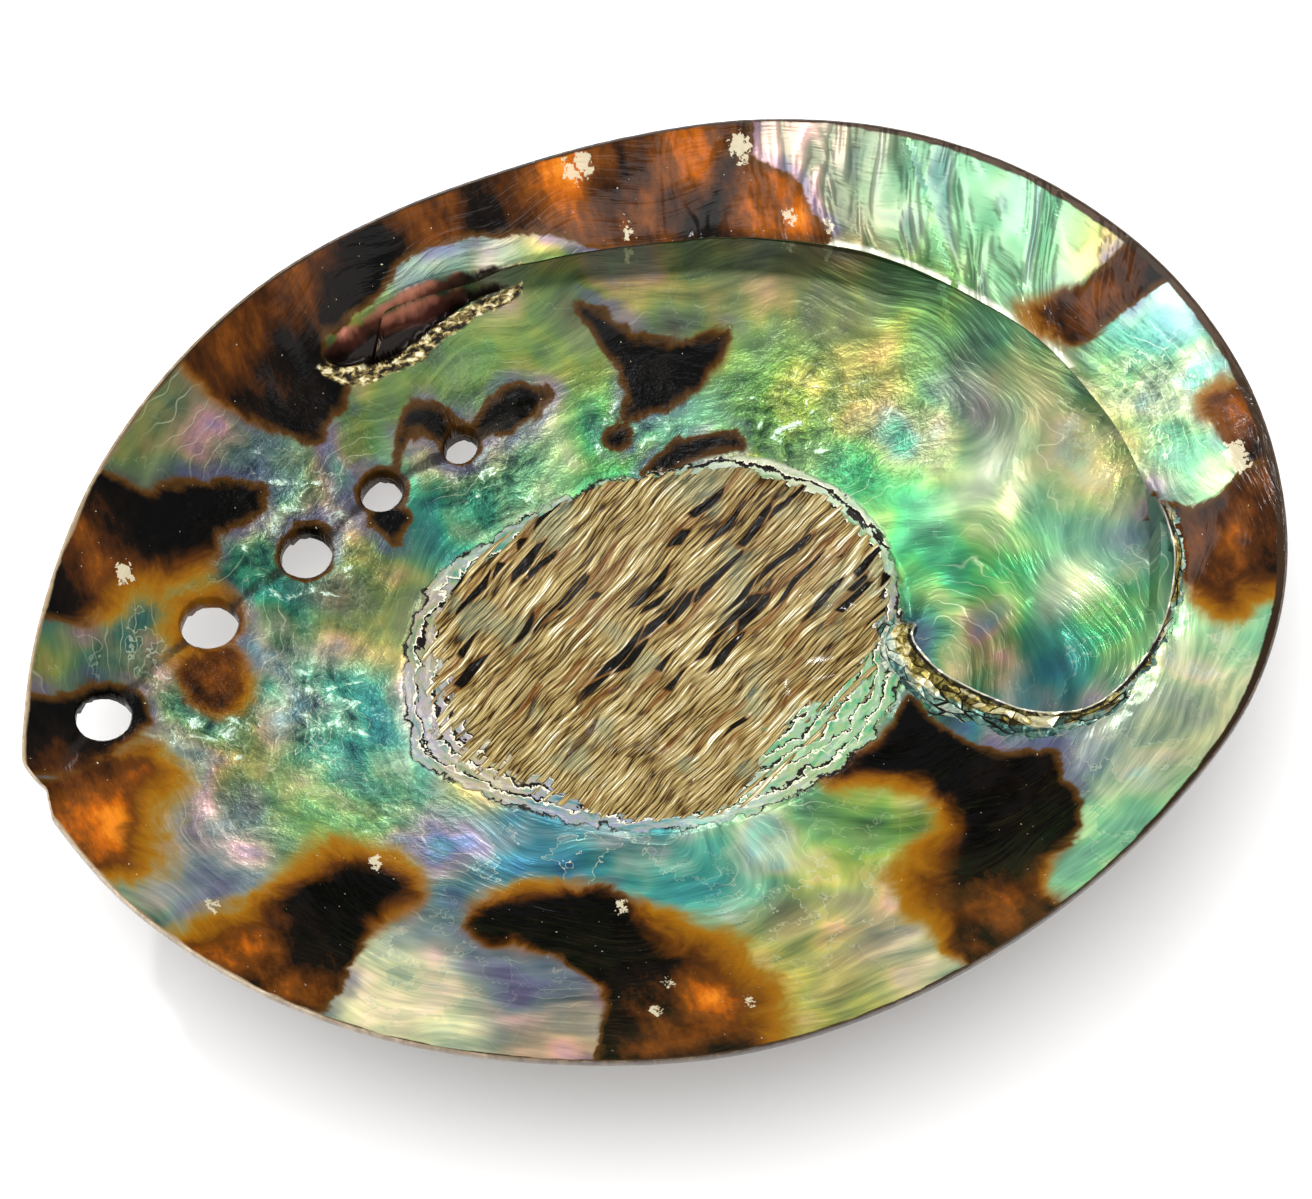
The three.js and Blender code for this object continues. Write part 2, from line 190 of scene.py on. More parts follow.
def line_distance(x, y, line):
    """Signed distance to an open line, positive on its left, with the share of the way along it."""
    nearest = np.full(x.shape, 1e9)
    side = np.ones(x.shape)
    share = np.zeros(x.shape)
    foot_x = np.zeros(x.shape)
    foot_y = np.zeros(x.shape)
    pieces = len(line) - 1
    for i in range(pieces):
        ax, ay = line[i]
        ex, ey = line[i + 1] - line[i]
        along = np.clip(((x - ax) * ex + (y - ay) * ey) / (ex * ex + ey * ey), 0, 1)
        away = np.hypot(x - ax - along * ex, y - ay - along * ey)
        closer = away < nearest
        nearest = np.where(closer, away, nearest)
        side = np.where(closer, np.where(ex * (y - ay) - ey * (x - ax) > 0, 1.0, -1.0), side)
        share = np.where(closer, (i + along) / pieces, share)
        foot_x = np.where(closer, ax + along * ex, foot_x)
        foot_y = np.where(closer, ay + along * ey, foot_y)
    return side * nearest, share, foot_x, foot_y


def hills(x, y, seed):
    """Natural unevenness: random heights between about -1 and 1, one hill to a unit, the same each time."""
    xi = np.floor(x).astype(np.int64)
    yi = np.floor(y).astype(np.int64)
    fx = x - xi
    fy = y - yi
    wx = fx * fx * fx * (fx * (6 * fx - 15) + 10)
    wy = fy * fy * fy * (fy * (6 * fy - 15) + 10)

    def corner(i, j):
        mixed = (xi + i) * 374761393 + (yi + j) * 668265263 + seed * 974634777
        mixed = (mixed ^ (mixed >> 13)) * 1274126177
        mixed = mixed ^ (mixed >> 16)
        turn = (mixed & 65535) / 65536 * FULL_TURN
        return np.cos(turn) * (fx - i) + np.sin(turn) * (fy - j)

    low = mix(corner(0, 0), corner(1, 0), wx)
    high = mix(corner(0, 1), corner(1, 1), wx)
    return 1.5 * mix(low, high, wy)


def ledge_width(along):
    return mix(LEDGE_WIDTH_AT_SHELF, LEDGE_WIDTH_AT_END, smooth(along * 1.3))


def step_down(distance, at, run):
    return smooth((distance - at) / run + 0.5)


def ledge_height(x, y, distance, along):
    width = ledge_width(along)
    ragged = 0.45 * hills(x * 0.9, y * 0.9, 31) + 0.25 * hills(x * 2.1, y * 2.1, 32)
    height = LEDGE_RISE - 0.45 * step_down(distance, 0.34 * width + ragged, 0.5)
    height = height - 0.5 * step_down(distance, 0.6 * width + ragged, 0.5)
    height = height - 0.65 * step_down(distance, width + ragged, 0.6)
    height = height - 0.4 * smooth((distance - width) / 3.0)
    ends = smooth(along * 6) * (1 - smooth((along - 0.94) / 0.06))
    return height * ends


def cavity_drop(x, y, distance, along):
    """How far the hollow sinks below the bowl. Its wall is steep along the ledge, less so past the tip."""
    tip = ledge_curve[-1]
    onward = tip - ledge_curve[-2]
    onward = onward / np.linalg.norm(onward)
    past = np.where(along < 1, 0.0, (x - tip[0]) * onward[0] + (y - tip[1]) * onward[1])
    aside = np.where(along < 1, -distance, (x - tip[0]) * onward[1] - (y - tip[1]) * onward[0])
    wall = mix(1.0, smooth(aside / 7), smooth((along - 0.72) / 0.28))
    mouth = (y + 22) / 26
    depth = mix(CAVITY_DEPTH_AT_SHELF, CAVITY_DEPTH_AT_END, smooth(along * 1.6))
    depth = depth * (1 - smooth(mouth)) * (1 - smooth(past / 9)) * wall
    return -depth * (1 - smooth(-distance / CAVITY_REACH))


# The muscle scar: where the animal's foot muscle held on, a rough patch of short slanting fibres,
# with thin terraces left around it as the muscle moved forward.
SCAR_OUTLINE = [
    (1.1, 28.7), (-13.7, 26.8), (-22.8, 23.8), (-30, 17.4), (-33.9, 7.6), (-35.5, -1.1), (-28.7, -9.2),
    (-20.8, -15.3), (-11.2, -20.4), (1.2, -23.7), (15.6, -22.9), (24.3, -19.1), (30.8, -13.4),
    (34.5, -6), (36.3, 1), (36.1, 8.8), (32.9, 16.2), (23.9, 24.4), (14.4, 27.3),
]
FIBRE_DIRECTION = 30
LUMP_HEIGHT = 0.35
TERRACE_SPACING = 2.1
scar_loop = curve_through(SCAR_OUTLINE, True, 5)


def fibre_coordinates(x, y):
    turn = math.radians(FIBRE_DIRECTION) - 0.002 * x
    along = x * np.cos(turn) + y * np.sin(turn)
    across = y * np.cos(turn) - x * np.sin(turn)
    return along, across


def scar_height(x, y, inside_by):
    """Height of the scar above the bowl."""
    along, across = fibre_coordinates(x, y)
    sway = 0.8 * hills(x / 9, y / 9, 3)
    lumps = hills(along / 14, (across + sway) / 5, 4)
    middle = smooth((inside_by - 5.5) / 5)
    border = smooth((inside_by + 0.6) / 1.2) * (1 - middle)
    ragged = inside_by + 1.3 * hills(x / 3.5, y / 3.5, 8) + 0.5 * hills(x / 1.3, y / 1.3, 9)
    terraces = 0.32 * ((ragged / TERRACE_SPACING) % 1)
    return smooth((inside_by + 0.4) / 0.8) * 0.35 + middle * LUMP_HEIGHT * lumps + border * terraces


# The breathing holes: bored by the growing animal, each newer and bigger, and the oldest grown over.
# A fine crease runs through them to the notch in the rim.
HOLES = [
    (-73.3, 8.8, 3.3),
    (-56.4, 20.6, 3.5),
    (-40.8, 28.7, 3.3),
    (-28.2, 34.8, 2.6),
    (-15.6, 38.1, 2.15),
]
CLOSED_HOLE = (-5.3, 39.9, 1.2)
HOLE_ALONG_ROW = 1.2
HOLE_ACROSS_ROW = 0.84
CREASE_START = (-2, 40.4)
CREASE_END = (-84, -1.9)
crease_points = [CREASE_START] + [(hx, hy) for hx, hy, _ in reversed(HOLES)] + [CREASE_END]
crease_curve = curve_through(crease_points, False, 8)


def row_direction(index):
    start = min(index, len(HOLES) - 2)
    return math.atan2(HOLES[start + 1][1] - HOLES[start][1], HOLES[start + 1][0] - HOLES[start][0])


def round_hole(x, y, index):
    """Distance from a hole's middle, made even round its oval, and the direction round it."""
    hx, hy, _ = HOLES[index]
    turn = row_direction(index)
    along = ((x - hx) * math.cos(turn) + (y - hy) * math.sin(turn)) / HOLE_ALONG_ROW
    across = ((y - hy) * math.cos(turn) - (x - hx) * math.sin(turn)) / HOLE_ACROSS_ROW
    return np.hypot(along, across), np.arctan2(across, along)


def on_hole(index, reach, direction):
    hx, hy, _ = HOLES[index]
    turn = row_direction(index)
    along = HOLE_ALONG_ROW * reach * np.cos(direction)
    across = HOLE_ACROSS_ROW * reach * np.sin(direction)
    return (hx + along * math.cos(turn) - across * math.sin(turn),
            hy + along * math.sin(turn) + across * math.cos(turn))


def hole_distance(x, y):
    nearest = np.full(x.shape, 1e9)
    for index, (_, _, radius) in enumerate(HOLES):
        nearest = np.minimum(nearest, round_hole(x, y, index)[0] - radius)
    return nearest


# The pearl is laid down in growth lines, which run round with the rim, and in the hollow round the spire.
# It is faintly streaked along them, and the shelf has low ripples across it.
HOLLOW_MIDDLE = (33, -14)
FLOOR_THICKNESS = 3.2
SHELF_SAG = 0.7
RIPPLE_HEIGHT = 0.22
STREAK_HEIGHT = 0.24
CREASE_DEPTH = 0.4
HOLE_ROUNDING = 0.5
DIMPLE_DEPTH = 0.9


def rough_hills(x, y, seed, layers):
    """Hills with finer and lower hills on them."""
    total = np.zeros_like(x)
    for layer in range(layers):
        total = total + hills(x * 2 ** layer, y * 2 ** layer, seed + layer) / 2 ** layer
    return total


def growth_line(x, y):
    share, _ = share_and_angle(x, y)
    from_spire = np.hypot(x - HOLLOW_MIDDLE[0], y - HOLLOW_MIDDLE[1])
    return mix(60 * share, 0.7 * from_spire + 25, smooth((41 - from_spire) / 16))


def streak_field(x, y):
    line = 0.24 * growth_line(x, y) + 1.2 * hills(x / 17, y / 17, 61)
    total = rough_hills(line, 0.05 * x, 62, 2) + rough_hills(line, 0.05 * y, 65, 2)
    return np.clip(0.5 + 0.2 * total, 0, 1)


def inner_height(x, y, share, angle, on_shelf):
    """Height of the mother-of-pearl side, with every relief but the ledge's fold."""
    rim = rim_height(x, y)
    bowl = FLOOR_THICKNESS + (rim - FLOOR_THICKNESS) * np.minimum(share, 1) ** bowl_curve(angle)
    edge = shelf_edge(angle)
    down_shelf = (1 - share) / (1 - edge)
    sag = np.sin(np.pi * np.clip(down_shelf, 0, 1))
    shelf = rim - SHELF_DROP * down_shelf - SHELF_SAG * sag
    shelf = shelf + 0.3 * (1 - smooth(np.abs(down_shelf - 1) * 10))
    ripples = smooth((degrees_from(angle, 22) + 2) / 8) * smooth((62 - degrees_from(angle, 0)) / 10)
    lengthways = np.radians(degrees_from(angle, 0)) * 70
    shelf = shelf + RIPPLE_HEIGHT * ripples * sag * hills(lengthways / 2.6, share * 5, 12)
    undulation = 0.55 * hills(x / 12, y / 12, 1) + 0.16 * hills(x / 4.5, y / 4.5, 2)
    undulation = undulation + STREAK_HEIGHT * streak_field(x, y)
    undulation = undulation * smooth((0.99 - share) / 0.08)
    present = np.where(on_shelf, shelf_share(angle), 0.0)
    height = mix(bowl, shelf, present) + undulation
    crease_away = np.abs(line_distance(x, y, crease_curve)[0])
    height = height - CREASE_DEPTH * (1 - smooth(crease_away / 1.6)) * (1 - present)
    height = height - HOLE_ROUNDING * (1 - smooth(np.maximum(hole_distance(x, y), 0) / 2.2))
    cx, cy, radius = CLOSED_HOLE
    return height - DIMPLE_DEPTH * (1 - smooth(np.hypot(x - cx, y - cy) / (1.6 * radius)))


# The back: the outside of the shell, unseen in the photo, with the low spire, growth ridges,
# the mounds of holes grown over long ago and a worn flat spot that it lies on.
RIM_THICKNESS = 2.0
SPIRE = (50, -17)
SPIRE_RADIUS = 31.0
SPIRE_DEPTH = 7.0
RIDGE_SPACING = 9
FINE_RIDGE_SPACING = 2.6
COLLAR_HEIGHT = 0.9
MOUNDS = [(-5, 41), (6, 40.5), (17, 39), (27, 35.5), (36, 30), (43, 22)]
MOUND_HEIGHT = 0.8
REST_SPOT_SINK = 1.1


def growth_wander(x, y):
    """How far the back's growth ridges stray from even rings round the spire."""
    return 3 * hills(x / 22, y / 22, 41)


def outer_height(x, y, share, angle):
    rim = rim_height(x, y) - RIM_THICKNESS
    bowl = rim * share ** (bowl_curve(angle) + 0.15)
    from_apex = np.hypot(x - SPIRE[0], y - SPIRE[1])
    around = np.arctan2(y - SPIRE[1], x - SPIRE[0])
    turns = np.log(np.maximum(from_apex, 1) / 4.5) / 0.23
    in_suture = np.abs(np.abs(np.fmod((turns - around) / FULL_TURN, 1)) * 2 - 1)
    on_spire = 1 - smooth(from_apex / SPIRE_RADIUS)
    whorls = 0.8 * in_suture * smooth(from_apex / 6) * smooth(on_spire * 3)
    ring = FULL_TURN * (from_apex + growth_wander(x, y))
    ridges = 0.3 * np.sin(ring / RIDGE_SPACING) + 0.14 * np.sin(ring / FINE_RIDGE_SPACING)
    ridges = ridges + 0.25 * rough_hills(x / 6, y / 6, 42, 3)
    away = smooth((share - 0.3) / 0.2) * smooth((0.98 - share) / 0.08)
    collar = COLLAR_HEIGHT * (1 - smooth(np.maximum(hole_distance(x, y), 0) / 4.5))
    mound = np.full(x.shape, 1e9)
    for mx, my in MOUNDS:
        mound = np.minimum(mound, np.hypot(x - mx, y - my))
    raised = SPIRE_DEPTH * on_spire * smooth((0.99 - share) / 0.12) + (collar - ridges) * away
    relief = whorls - raised - MOUND_HEIGHT * (1 - smooth(mound / 4))
    return np.maximum(0, bowl + relief - REST_SPOT_SINK * (1 - share))


# The body: laid out in rings from the deepest point to the rim, inside and back,
# and closed by a rounded ground rim.
INSIDE_RINGS = 144
EDGE_RING = 116
BACK_RINGS = 72
BACK_SECTORS = 12

ring_of = np.concatenate([np.full(max(1, 6 * ring), ring) for ring in range(INSIDE_RINGS + 1)])
step_of = np.concatenate([np.arange(max(1, 6 * ring)) for ring in range(INSIDE_RINGS + 1)])
angle_in = FULL_TURN * step_of / np.maximum(6 * ring_of, 1)

plain_share = ring_of / INSIDE_RINGS
edge_share = shelf_edge(angle_in)
under = {1: 0.003, 2: 0.028, 3: 0.046}
lip_rings = edge_share + (1 - edge_share) * (ring_of - EDGE_RING) / (INSIDE_RINGS - EDGE_RING)
for below, back in under.items():
    lip_rings = np.where(ring_of == EDGE_RING - below, edge_share + back, lip_rings)
last_under = EDGE_RING - 3
lip_rings = np.where(ring_of < last_under, (edge_share + 0.042) * ring_of / last_under, lip_rings)
share_in = mix(plain_share, lip_rings, lip_share(angle_in))
inset = np.where(ring_of == INSIDE_RINGS, 0.35 / rim_radius(angle_in), 0)
share_in = share_in - inset


def plan_places(share, angle):
    radius = share * rim_radius(angle)
    x = DEEPEST_POINT[0] + radius * np.cos(angle)
    y = DEEPEST_POINT[1] + radius * np.sin(angle)
    in_notch = np.clip(1 - np.hypot(x - NOTCH[0], y - NOTCH[1]) / NOTCH_HALF_WIDTH, 0, 1)
    return x + NOTCH_DEPTH * in_notch * smooth((share - 0.94) / 0.06), y


x_in, y_in = plan_places(share_in, angle_in)
lip_edge_height = inner_height(x_in, y_in, share_in, angle_in, ring_of >= EDGE_RING - 3)
z_in = inner_height(x_in, y_in, share_in, angle_in, ring_of >= EDGE_RING)
lip = lip_share(angle_in)
z_in = np.where(ring_of == EDGE_RING - 1, mix(z_in, lip_edge_height - LIP_THICKNESS, lip), z_in)
z_in = np.where(ring_of == EDGE_RING - 2, mix(z_in, lip_edge_height - 2 * LIP_THICKNESS, lip), z_in)

pocket_away = outline_distance(x_in, y_in, curve_through(POCKET_OUTLINE, True, 4))
z_in = z_in - POCKET_DEPTH * smooth(-pocket_away / 1.6)

scar_away = outline_distance(x_in, y_in, scar_loop)
z_in = z_in + scar_height(x_in, y_in, -scar_away)

# The ledge's edge is drawn through the mesh: the nearest points move onto it, those on the hollow's side
# drop and slip back under the lip.
ledge_away, ledge_along, foot_x, foot_y = line_distance(x_in, y_in, ledge_curve)
near_ledge = (np.abs(ledge_away) < 0.3) & (ledge_along > 0.02) & (ledge_along < 0.99)
away_x = np.where(ledge_away == 0, 0, (x_in - foot_x) / np.where(ledge_away == 0, 1, ledge_away))
away_y = np.where(ledge_away == 0, 0, (y_in - foot_y) / np.where(ledge_away == 0, 1, ledge_away))
x_in = np.where(near_ledge, foot_x, x_in)
y_in = np.where(near_ledge, foot_y, y_in)
ledge_away = np.where(near_ledge, 0, ledge_away)
on_ledge = ledge_away >= 0
z_in = z_in + np.where(on_ledge, ledge_height(x_in, y_in, ledge_away, ledge_along),
                       cavity_drop(x_in, y_in, ledge_away, ledge_along))
slip = LEDGE_OVERHANG * np.clip(1 + ledge_away / 3, 0, 1) ** 2 * smooth(ledge_along * 8)
slip = slip * (1 - smooth((ledge_along - 0.93) / 0.06))
slip = np.where(on_ledge, 0, slip)
x_in = x_in + away_x * slip
y_in = y_in + away_y * slip

back_ring = np.concatenate([np.full(max(1, BACK_SECTORS * ring), ring) for ring in range(BACK_RINGS + 1)])
back_step = np.concatenate([np.arange(max(1, BACK_SECTORS * ring)) for ring in range(BACK_RINGS + 1)])
angle_out = FULL_TURN * back_step / np.maximum(BACK_SECTORS * back_ring, 1)
share_out = back_ring / BACK_RINGS
share_out = share_out - np.where(back_ring == BACK_RINGS, 0.3 / rim_radius(angle_out), 0)
x_out, y_out = plan_places(share_out, angle_out)
z_out = outer_height(x_out, y_out, share_out, angle_out)


def ring_faces(rings, sectors, start, flip):
    """Triangles between rings that gain one point to a sector each time."""
    faces = []
    first = start
    for ring in range(rings):
        small = max(1, sectors * ring)
        large = sectors * (ring + 1)
        outer_first = first + small
        for sector in range(sectors):
            for i in range(ring + 1):
                inner = first + (sector * ring + i) % small
                outer = outer_first + sector * (ring + 1) + i
                outer_next = outer_first + (sector * (ring + 1) + i + 1) % large
                faces.append((inner, outer_next, outer) if flip else (inner, outer, outer_next))
                if i < ring:
                    inner_next = first + (sector * ring + i + 1) % small
                    faces.append((inner, inner_next, outer_next) if flip else (inner, outer_next, inner_next))
        first = outer_first
    return faces


points = [np.column_stack([x_in, y_in, z_in]), np.column_stack([x_out, y_out, z_out])]
inside_count = len(x_in)
back_count = len(x_out)
faces = ring_faces(INSIDE_RINGS, 6, 0, False)
inside_faces = len(faces)
faces = faces + ring_faces(BACK_RINGS, BACK_SECTORS, inside_count, True)
back_faces = len(faces)

# The rim's edge is rounded by a few rows between the inside and the back.
rim_count = 6 * INSIDE_RINGS
rim_angle = FULL_TURN * np.arange(rim_count) / rim_count
rim_rows = [(0.08, 0.25), (0.0, 0.7), (0.0, 1.3), (0.1, 1.75)]
row_starts = [inside_count - rim_count]
start = inside_count + back_count
for inward, down in rim_rows:
    rx, ry = plan_places(1 - inward / rim_radius(rim_angle), rim_angle)
    chips = 0.06 * hills(rx / 1.5, ry / 1.5, 51)
    points.append(np.column_stack([rx, ry, rim_height(rx, ry) - down + chips]))
    row_starts.append(start)
    start += rim_count
row_starts.append(inside_count + back_count - rim_count)
for upper, lower in zip(row_starts[:-1], row_starts[1:]):
    for i in range(rim_count):
        after = (i + 1) % rim_count
        faces.append((upper + i, lower + i, lower + after))
        faces.append((upper + i, lower + after, upper + after))
points = np.vstack(points)
faces = np.array(faces, dtype=np.int64)
INSIDE, BACK, RIM, THROAT = range(4)
part_of_face = np.full(len(faces), INSIDE)
part_of_face[inside_faces:back_faces] = BACK
part_of_face[back_faces:] = RIM

# The holes are opened by taking out the faces inside each circle on both sides,
# rounding the two cut edges and walling them together.
PAST_ALL = 9
extra_points = []
extra_faces = []
extra_source = []
extra_parts = []
for index, (hx, hy, radius) in enumerate(HOLES):
    loops = []
    for part, widen, down in ((INSIDE, 0.22, -0.3), (BACK, 0.35, 0.4)):
        away = round_hole(points[:, 0], points[:, 1], index)[0]
        mine = part_of_face == part
        cut = mine & (away[faces].min(axis=1) < radius + widen)
        cut_faces = faces[cut]
        edges = np.vstack([cut_faces[:, [0, 1]], cut_faces[:, [1, 2]], cut_faces[:, [2, 0]]])
        forward = {(int(a), int(b)) for a, b in edges}
        outer_edges = [(a, b) for a, b in forward if (b, a) not in forward]
        border = np.array(sorted({end for edge in outer_edges for end in edge}))
        turn = round_hole(points[border, 0], points[border, 1], index)[1]
        border = border[np.argsort(turn)]
        turn = np.sort(turn)
        points[border, 0], points[border, 1] = on_hole(index, radius + widen, turn)
        faces = faces[~cut]
        part_of_face = part_of_face[~cut]
        first = len(points) + sum(len(p) for p in extra_points)
        ring = np.column_stack([*on_hole(index, radius, turn), points[border, 2] + down])
        extra_points.append(ring)
        extra_source.append(border)
        throat = first + np.arange(len(border))
        for i in range(len(border)):
            after = (i + 1) % len(border)
            a, b, c, d = border[i], border[after], throat[after], throat[i]
            if part == INSIDE:
                extra_faces += [(a, c, b), (a, d, c)]
                extra_parts += [THROAT, THROAT]
            else:
                extra_faces += [(a, b, c), (a, c, d)]
                extra_parts += [BACK, BACK]
        loops.append((throat, turn))
    (upper, upper_turn), (lower, lower_turn) = loops
    extra_parts += [THROAT] * (len(upper) + len(lower))
    i = 0
    j = 0
    while i < len(upper) or j < len(lower):
        next_upper = upper_turn[i] if i < len(upper) else PAST_ALL
        next_lower = lower_turn[j] if j < len(lower) else PAST_ALL
        last_pair = (upper[(i - 1) % len(upper)], lower[(j - 1) % len(lower)])
        if next_upper <= next_lower:
            extra_faces.append((*last_pair, upper[i % len(upper)]))
            i += 1
        else:
            extra_faces.append((*last_pair, lower[j % len(lower)]))
            j += 1
source = np.concatenate([np.arange(len(points))] + extra_source)
points = np.vstack([points] + extra_points)
faces = np.vstack([faces, np.array(extra_faces, dtype=np.int64)])
part_of_face = np.concatenate([part_of_face, np.array(extra_parts)])

used = np.zeros(len(points), dtype=bool)
used[faces.ravel()] = True
renumber = np.cumsum(used) - 1
faces = renumber[faces]
points = points[used]
source = source[used]

MM = 0.001
shell_mesh = bpy.data.meshes.new("abalone_shell")
shell_mesh.vertices.add(len(points))
shell_mesh.vertices.foreach_set("co", (points * MM).astype(np.float32).ravel())
shell_mesh.loops.add(3 * len(faces))
shell_mesh.loops.foreach_set("vertex_index", faces.astype(np.int32).ravel())
shell_mesh.polygons.add(len(faces))
shell_mesh.polygons.foreach_set("loop_start", np.arange(0, 3 * len(faces), 3, dtype=np.int32))
shell_mesh.update(calc_edges=True)
shell_mesh.validate()
shell_mesh.shade_smooth()
shell_mesh.set_sharp_from_angle(angle=math.radians(50))

# The lining is stained where brown and black horn-like layers show through the pearl.
# The shelf's stains stop at its free edge, and none enters the hollow beside the ledge.
SHELF_STAINS = [
    [(-46, 54), (-34, 59), (-22, 62), (-11, 63), (0, 64), (11, 64), (23, 63), (33, 62), (33, 57),
      (38, 53), (39, 49), (40, 43), (34, 43.5), (23, 47.5), (15, 49.5), (8, 51.5), (5, 54.5), (-3, 57),
      (-11, 58), (-17, 57), (-21, 54), (-30, 51), (-28, 48), (-32, 43), (-35, 41), (-43, 44),
      (-47, 47)],
    [(61, 25), (67, 25), (75, 27), (77, 30), (80, 22), (78, 20), (73, 19), (68, 17), (65, 17), (62, 21)],
]
STAINS = [
    [(81, 4), (84, 4), (85, 0), (84, -6), (79, -9), (79, -4), (79, 3)],
    [(68, -6), (70, -9), (75, -10), (79, -8), (84, -7), (83, -14), (79, -24), (75, -27), (75, -24),
      (71, -26), (69, -22), (67, -18), (67, -13)],
    [(-66, 38), (-61, 37), (-52, 38), (-43, 37), (-45, 34), (-51, 31), (-53, 29), (-60, 26),
      (-67, 24), (-73, 20), (-77, 22), (-74, 27), (-70, 34)],
    [(-22, 44), (-17, 43), (-15, 40), (-18, 39), (-21, 40), (-26, 36), (-26, 37)],
    [(-14, 39), (-11, 42), (-5, 43), (-1, 41), (-3, 39), (-9, 37), (-12, 38)],
    [(-31, 33), (-31, 30), (-28, 28), (-25, 31), (-27, 33)],
    [(5, 49), (8, 48), (11, 45), (18, 42), (25, 41), (24, 39), (20, 36), (11, 34), (7, 35), (8, 38), (7, 43)],
    [(4, 34), (8, 34), (7, 32), (4, 32)],
    [(7, 28), (14, 31), (22, 29), (23, 27), (16, 28), (10, 27)],
    [(-62, 15), (-54, 18), (-53, 13), (-57, 9), (-62, 10)],
    [(-78, 11), (-72, 13), (-67, 11), (-70, 5), (-76, 2), (-84, -2), (-84, 1), (-80, 5)],
    [(-84, -3), (-77, 2), (-69, 5), (-67, 1), (-71, -4), (-73, -12), (-78, -18), (-83, -8)],
    [(-71, -28), (-67, -34), (-57, -43), (-54, -37), (-51, -32), (-45, -26), (-40, -24), (-42, -18),
      (-46, -15), (-50, -14), (-56, -17), (-61, -21), (-64, -23), (-69, -25)],
    [(-37, -30), (-34, -27), (-27, -26), (-18, -28), (-14, -33), (-10, -39), (-6, -44), (-5, -49),
      (-4, -56), (-8, -63), (-16, -62), (-27, -59), (-26, -53), (-24, -49), (-24, -45), (-27, -40),
      (-31, -36), (-35, -35)],
    [(16, -22), (21, -20), (26, -19), (31, -15), (33, -18), (34, -22), (37, -28), (41, -31),
      (45, -33), (44, -37), (44, -43), (41, -48), (35, -52), (32, -57), (31, -59), (24, -61),
      (19, -62), (19, -56), (19, -48), (19, -44), (24, -40), (27, -38), (28, -31), (23, -27)],
]
AT_THE_RIM = 0.945
PAST_THE_RIM = 1.12


def past_the_rim(outline):
    """Pushes the points of an outline that lie at the rim out past it: the stain then reaches the edge."""
    line = curve_through(outline, True, 4)
    share, _ = share_and_angle(line[:, 0], line[:, 1])
    push = np.where(share > AT_THE_RIM, PAST_THE_RIM, 1.0)
    return DEEPEST_POINT + (line - DEEPEST_POINT) * push[:, None]


# Where a stain's border is soft, and how many millimetres wide the border is there.
SOFT_BORDERS = [
    (-50, -16, 13, 3.4), (-67, -27, 10, 4.5), (-27, -28, 12, 2.2), (-9, -45, 11, 5.5), (-6, -56, 10, 5.5),
    (22, -28, 10, 2.6), (22, -46, 13, 5.0), (-62, 24, 10, 3.2), (-67, -4, 9, 4.0), (-71, -14, 9, 4.5),
    (-57, 12, 7, 2.4), (-46, 50, 9, 1.8), (72, -26, 8, 3.0), (62, 22, 7, 2.0), (80, 3, 6, 2.0),
    (21, 38, 6, 1.2),
]
CRISP_BORDER = 0.55

# Where the stain is thin enough for its amber to glow through.
AMBER_PLACES = [
    (-44, 55, 10, 0.55), (-30, 60, 9, 0.55), (-12, 63, 9, 0.6), (8, 62, 9, 0.85), (24, 60, 10, 0.75),
    (33, 51, 9, 0.75), (18, 55, 8, 0.6), (37, 47, 6, 0.8), (2, 56, 6, 0.4), (-71, 31, 9, 0.5),
    (-68, 26, 8, 0.55), (-58, 13, 7, 0.6), (-76, -8, 12, 0.9), (-70, -2, 8, 0.9), (-67, -28, 9, 0.85),
    (-60, -37, 7, 0.55), (-9, -54, 8, 1.0), (-19, -57, 8, 0.5), (26, -55, 8, 0.7), (20, -50, 6, 0.7),
    (71, 22, 8, 0.6), (82, -2, 6, 0.7), (78, -16, 10, 0.7), (70, -14, 6, 0.6),
]

px = points[:, 0]
py = points[:, 1]
NO_STAIN = -9.0
KEPT_OFF = 12
HOLE_STAIN_WIDTH = 0.7


def per_point(values, elsewhere=0.0):
    """Carries values worked out on the lining's first layout over to the points of the finished mesh."""
    whole = np.full(inside_count + back_count + len(rim_rows) * rim_count, float(elsewhere))
    whole[:inside_count] = values
    return whole[source]


def nearness(x, y, reach):
    """1 at a place, falling softly to 0 within about twice its reach."""
    return np.exp(-((px - x) ** 2 + (py - y) ** 2) / (reach * reach))


def strongest(places, least):
    """The strongest of several soft round places at every point."""
    amount = np.full(len(px), float(least))
    for x, y, reach, peak in places:
        amount = np.maximum(amount, least + (peak - least) * nearness(x, y, reach))
    return amount


stain = np.full(len(px), NO_STAIN)
for outline in STAINS:
    stain = np.maximum(stain, -outline_distance(px, py, past_the_rim(outline)))
under_lip = per_point(np.where(ring_of < EDGE_RING, lip, 0))
for outline in SHELF_STAINS:
    stain = np.maximum(stain, -outline_distance(px, py, past_the_rim(outline)) - KEPT_OFF * under_lip)
in_hollow = (ledge_away < 0) & (ledge_away > -9) & (ledge_along > 0.01) & (ledge_along < 0.98)
stain = np.maximum(stain - KEPT_OFF * per_point(in_hollow), HOLE_STAIN_WIDTH - hole_distance(px, py))

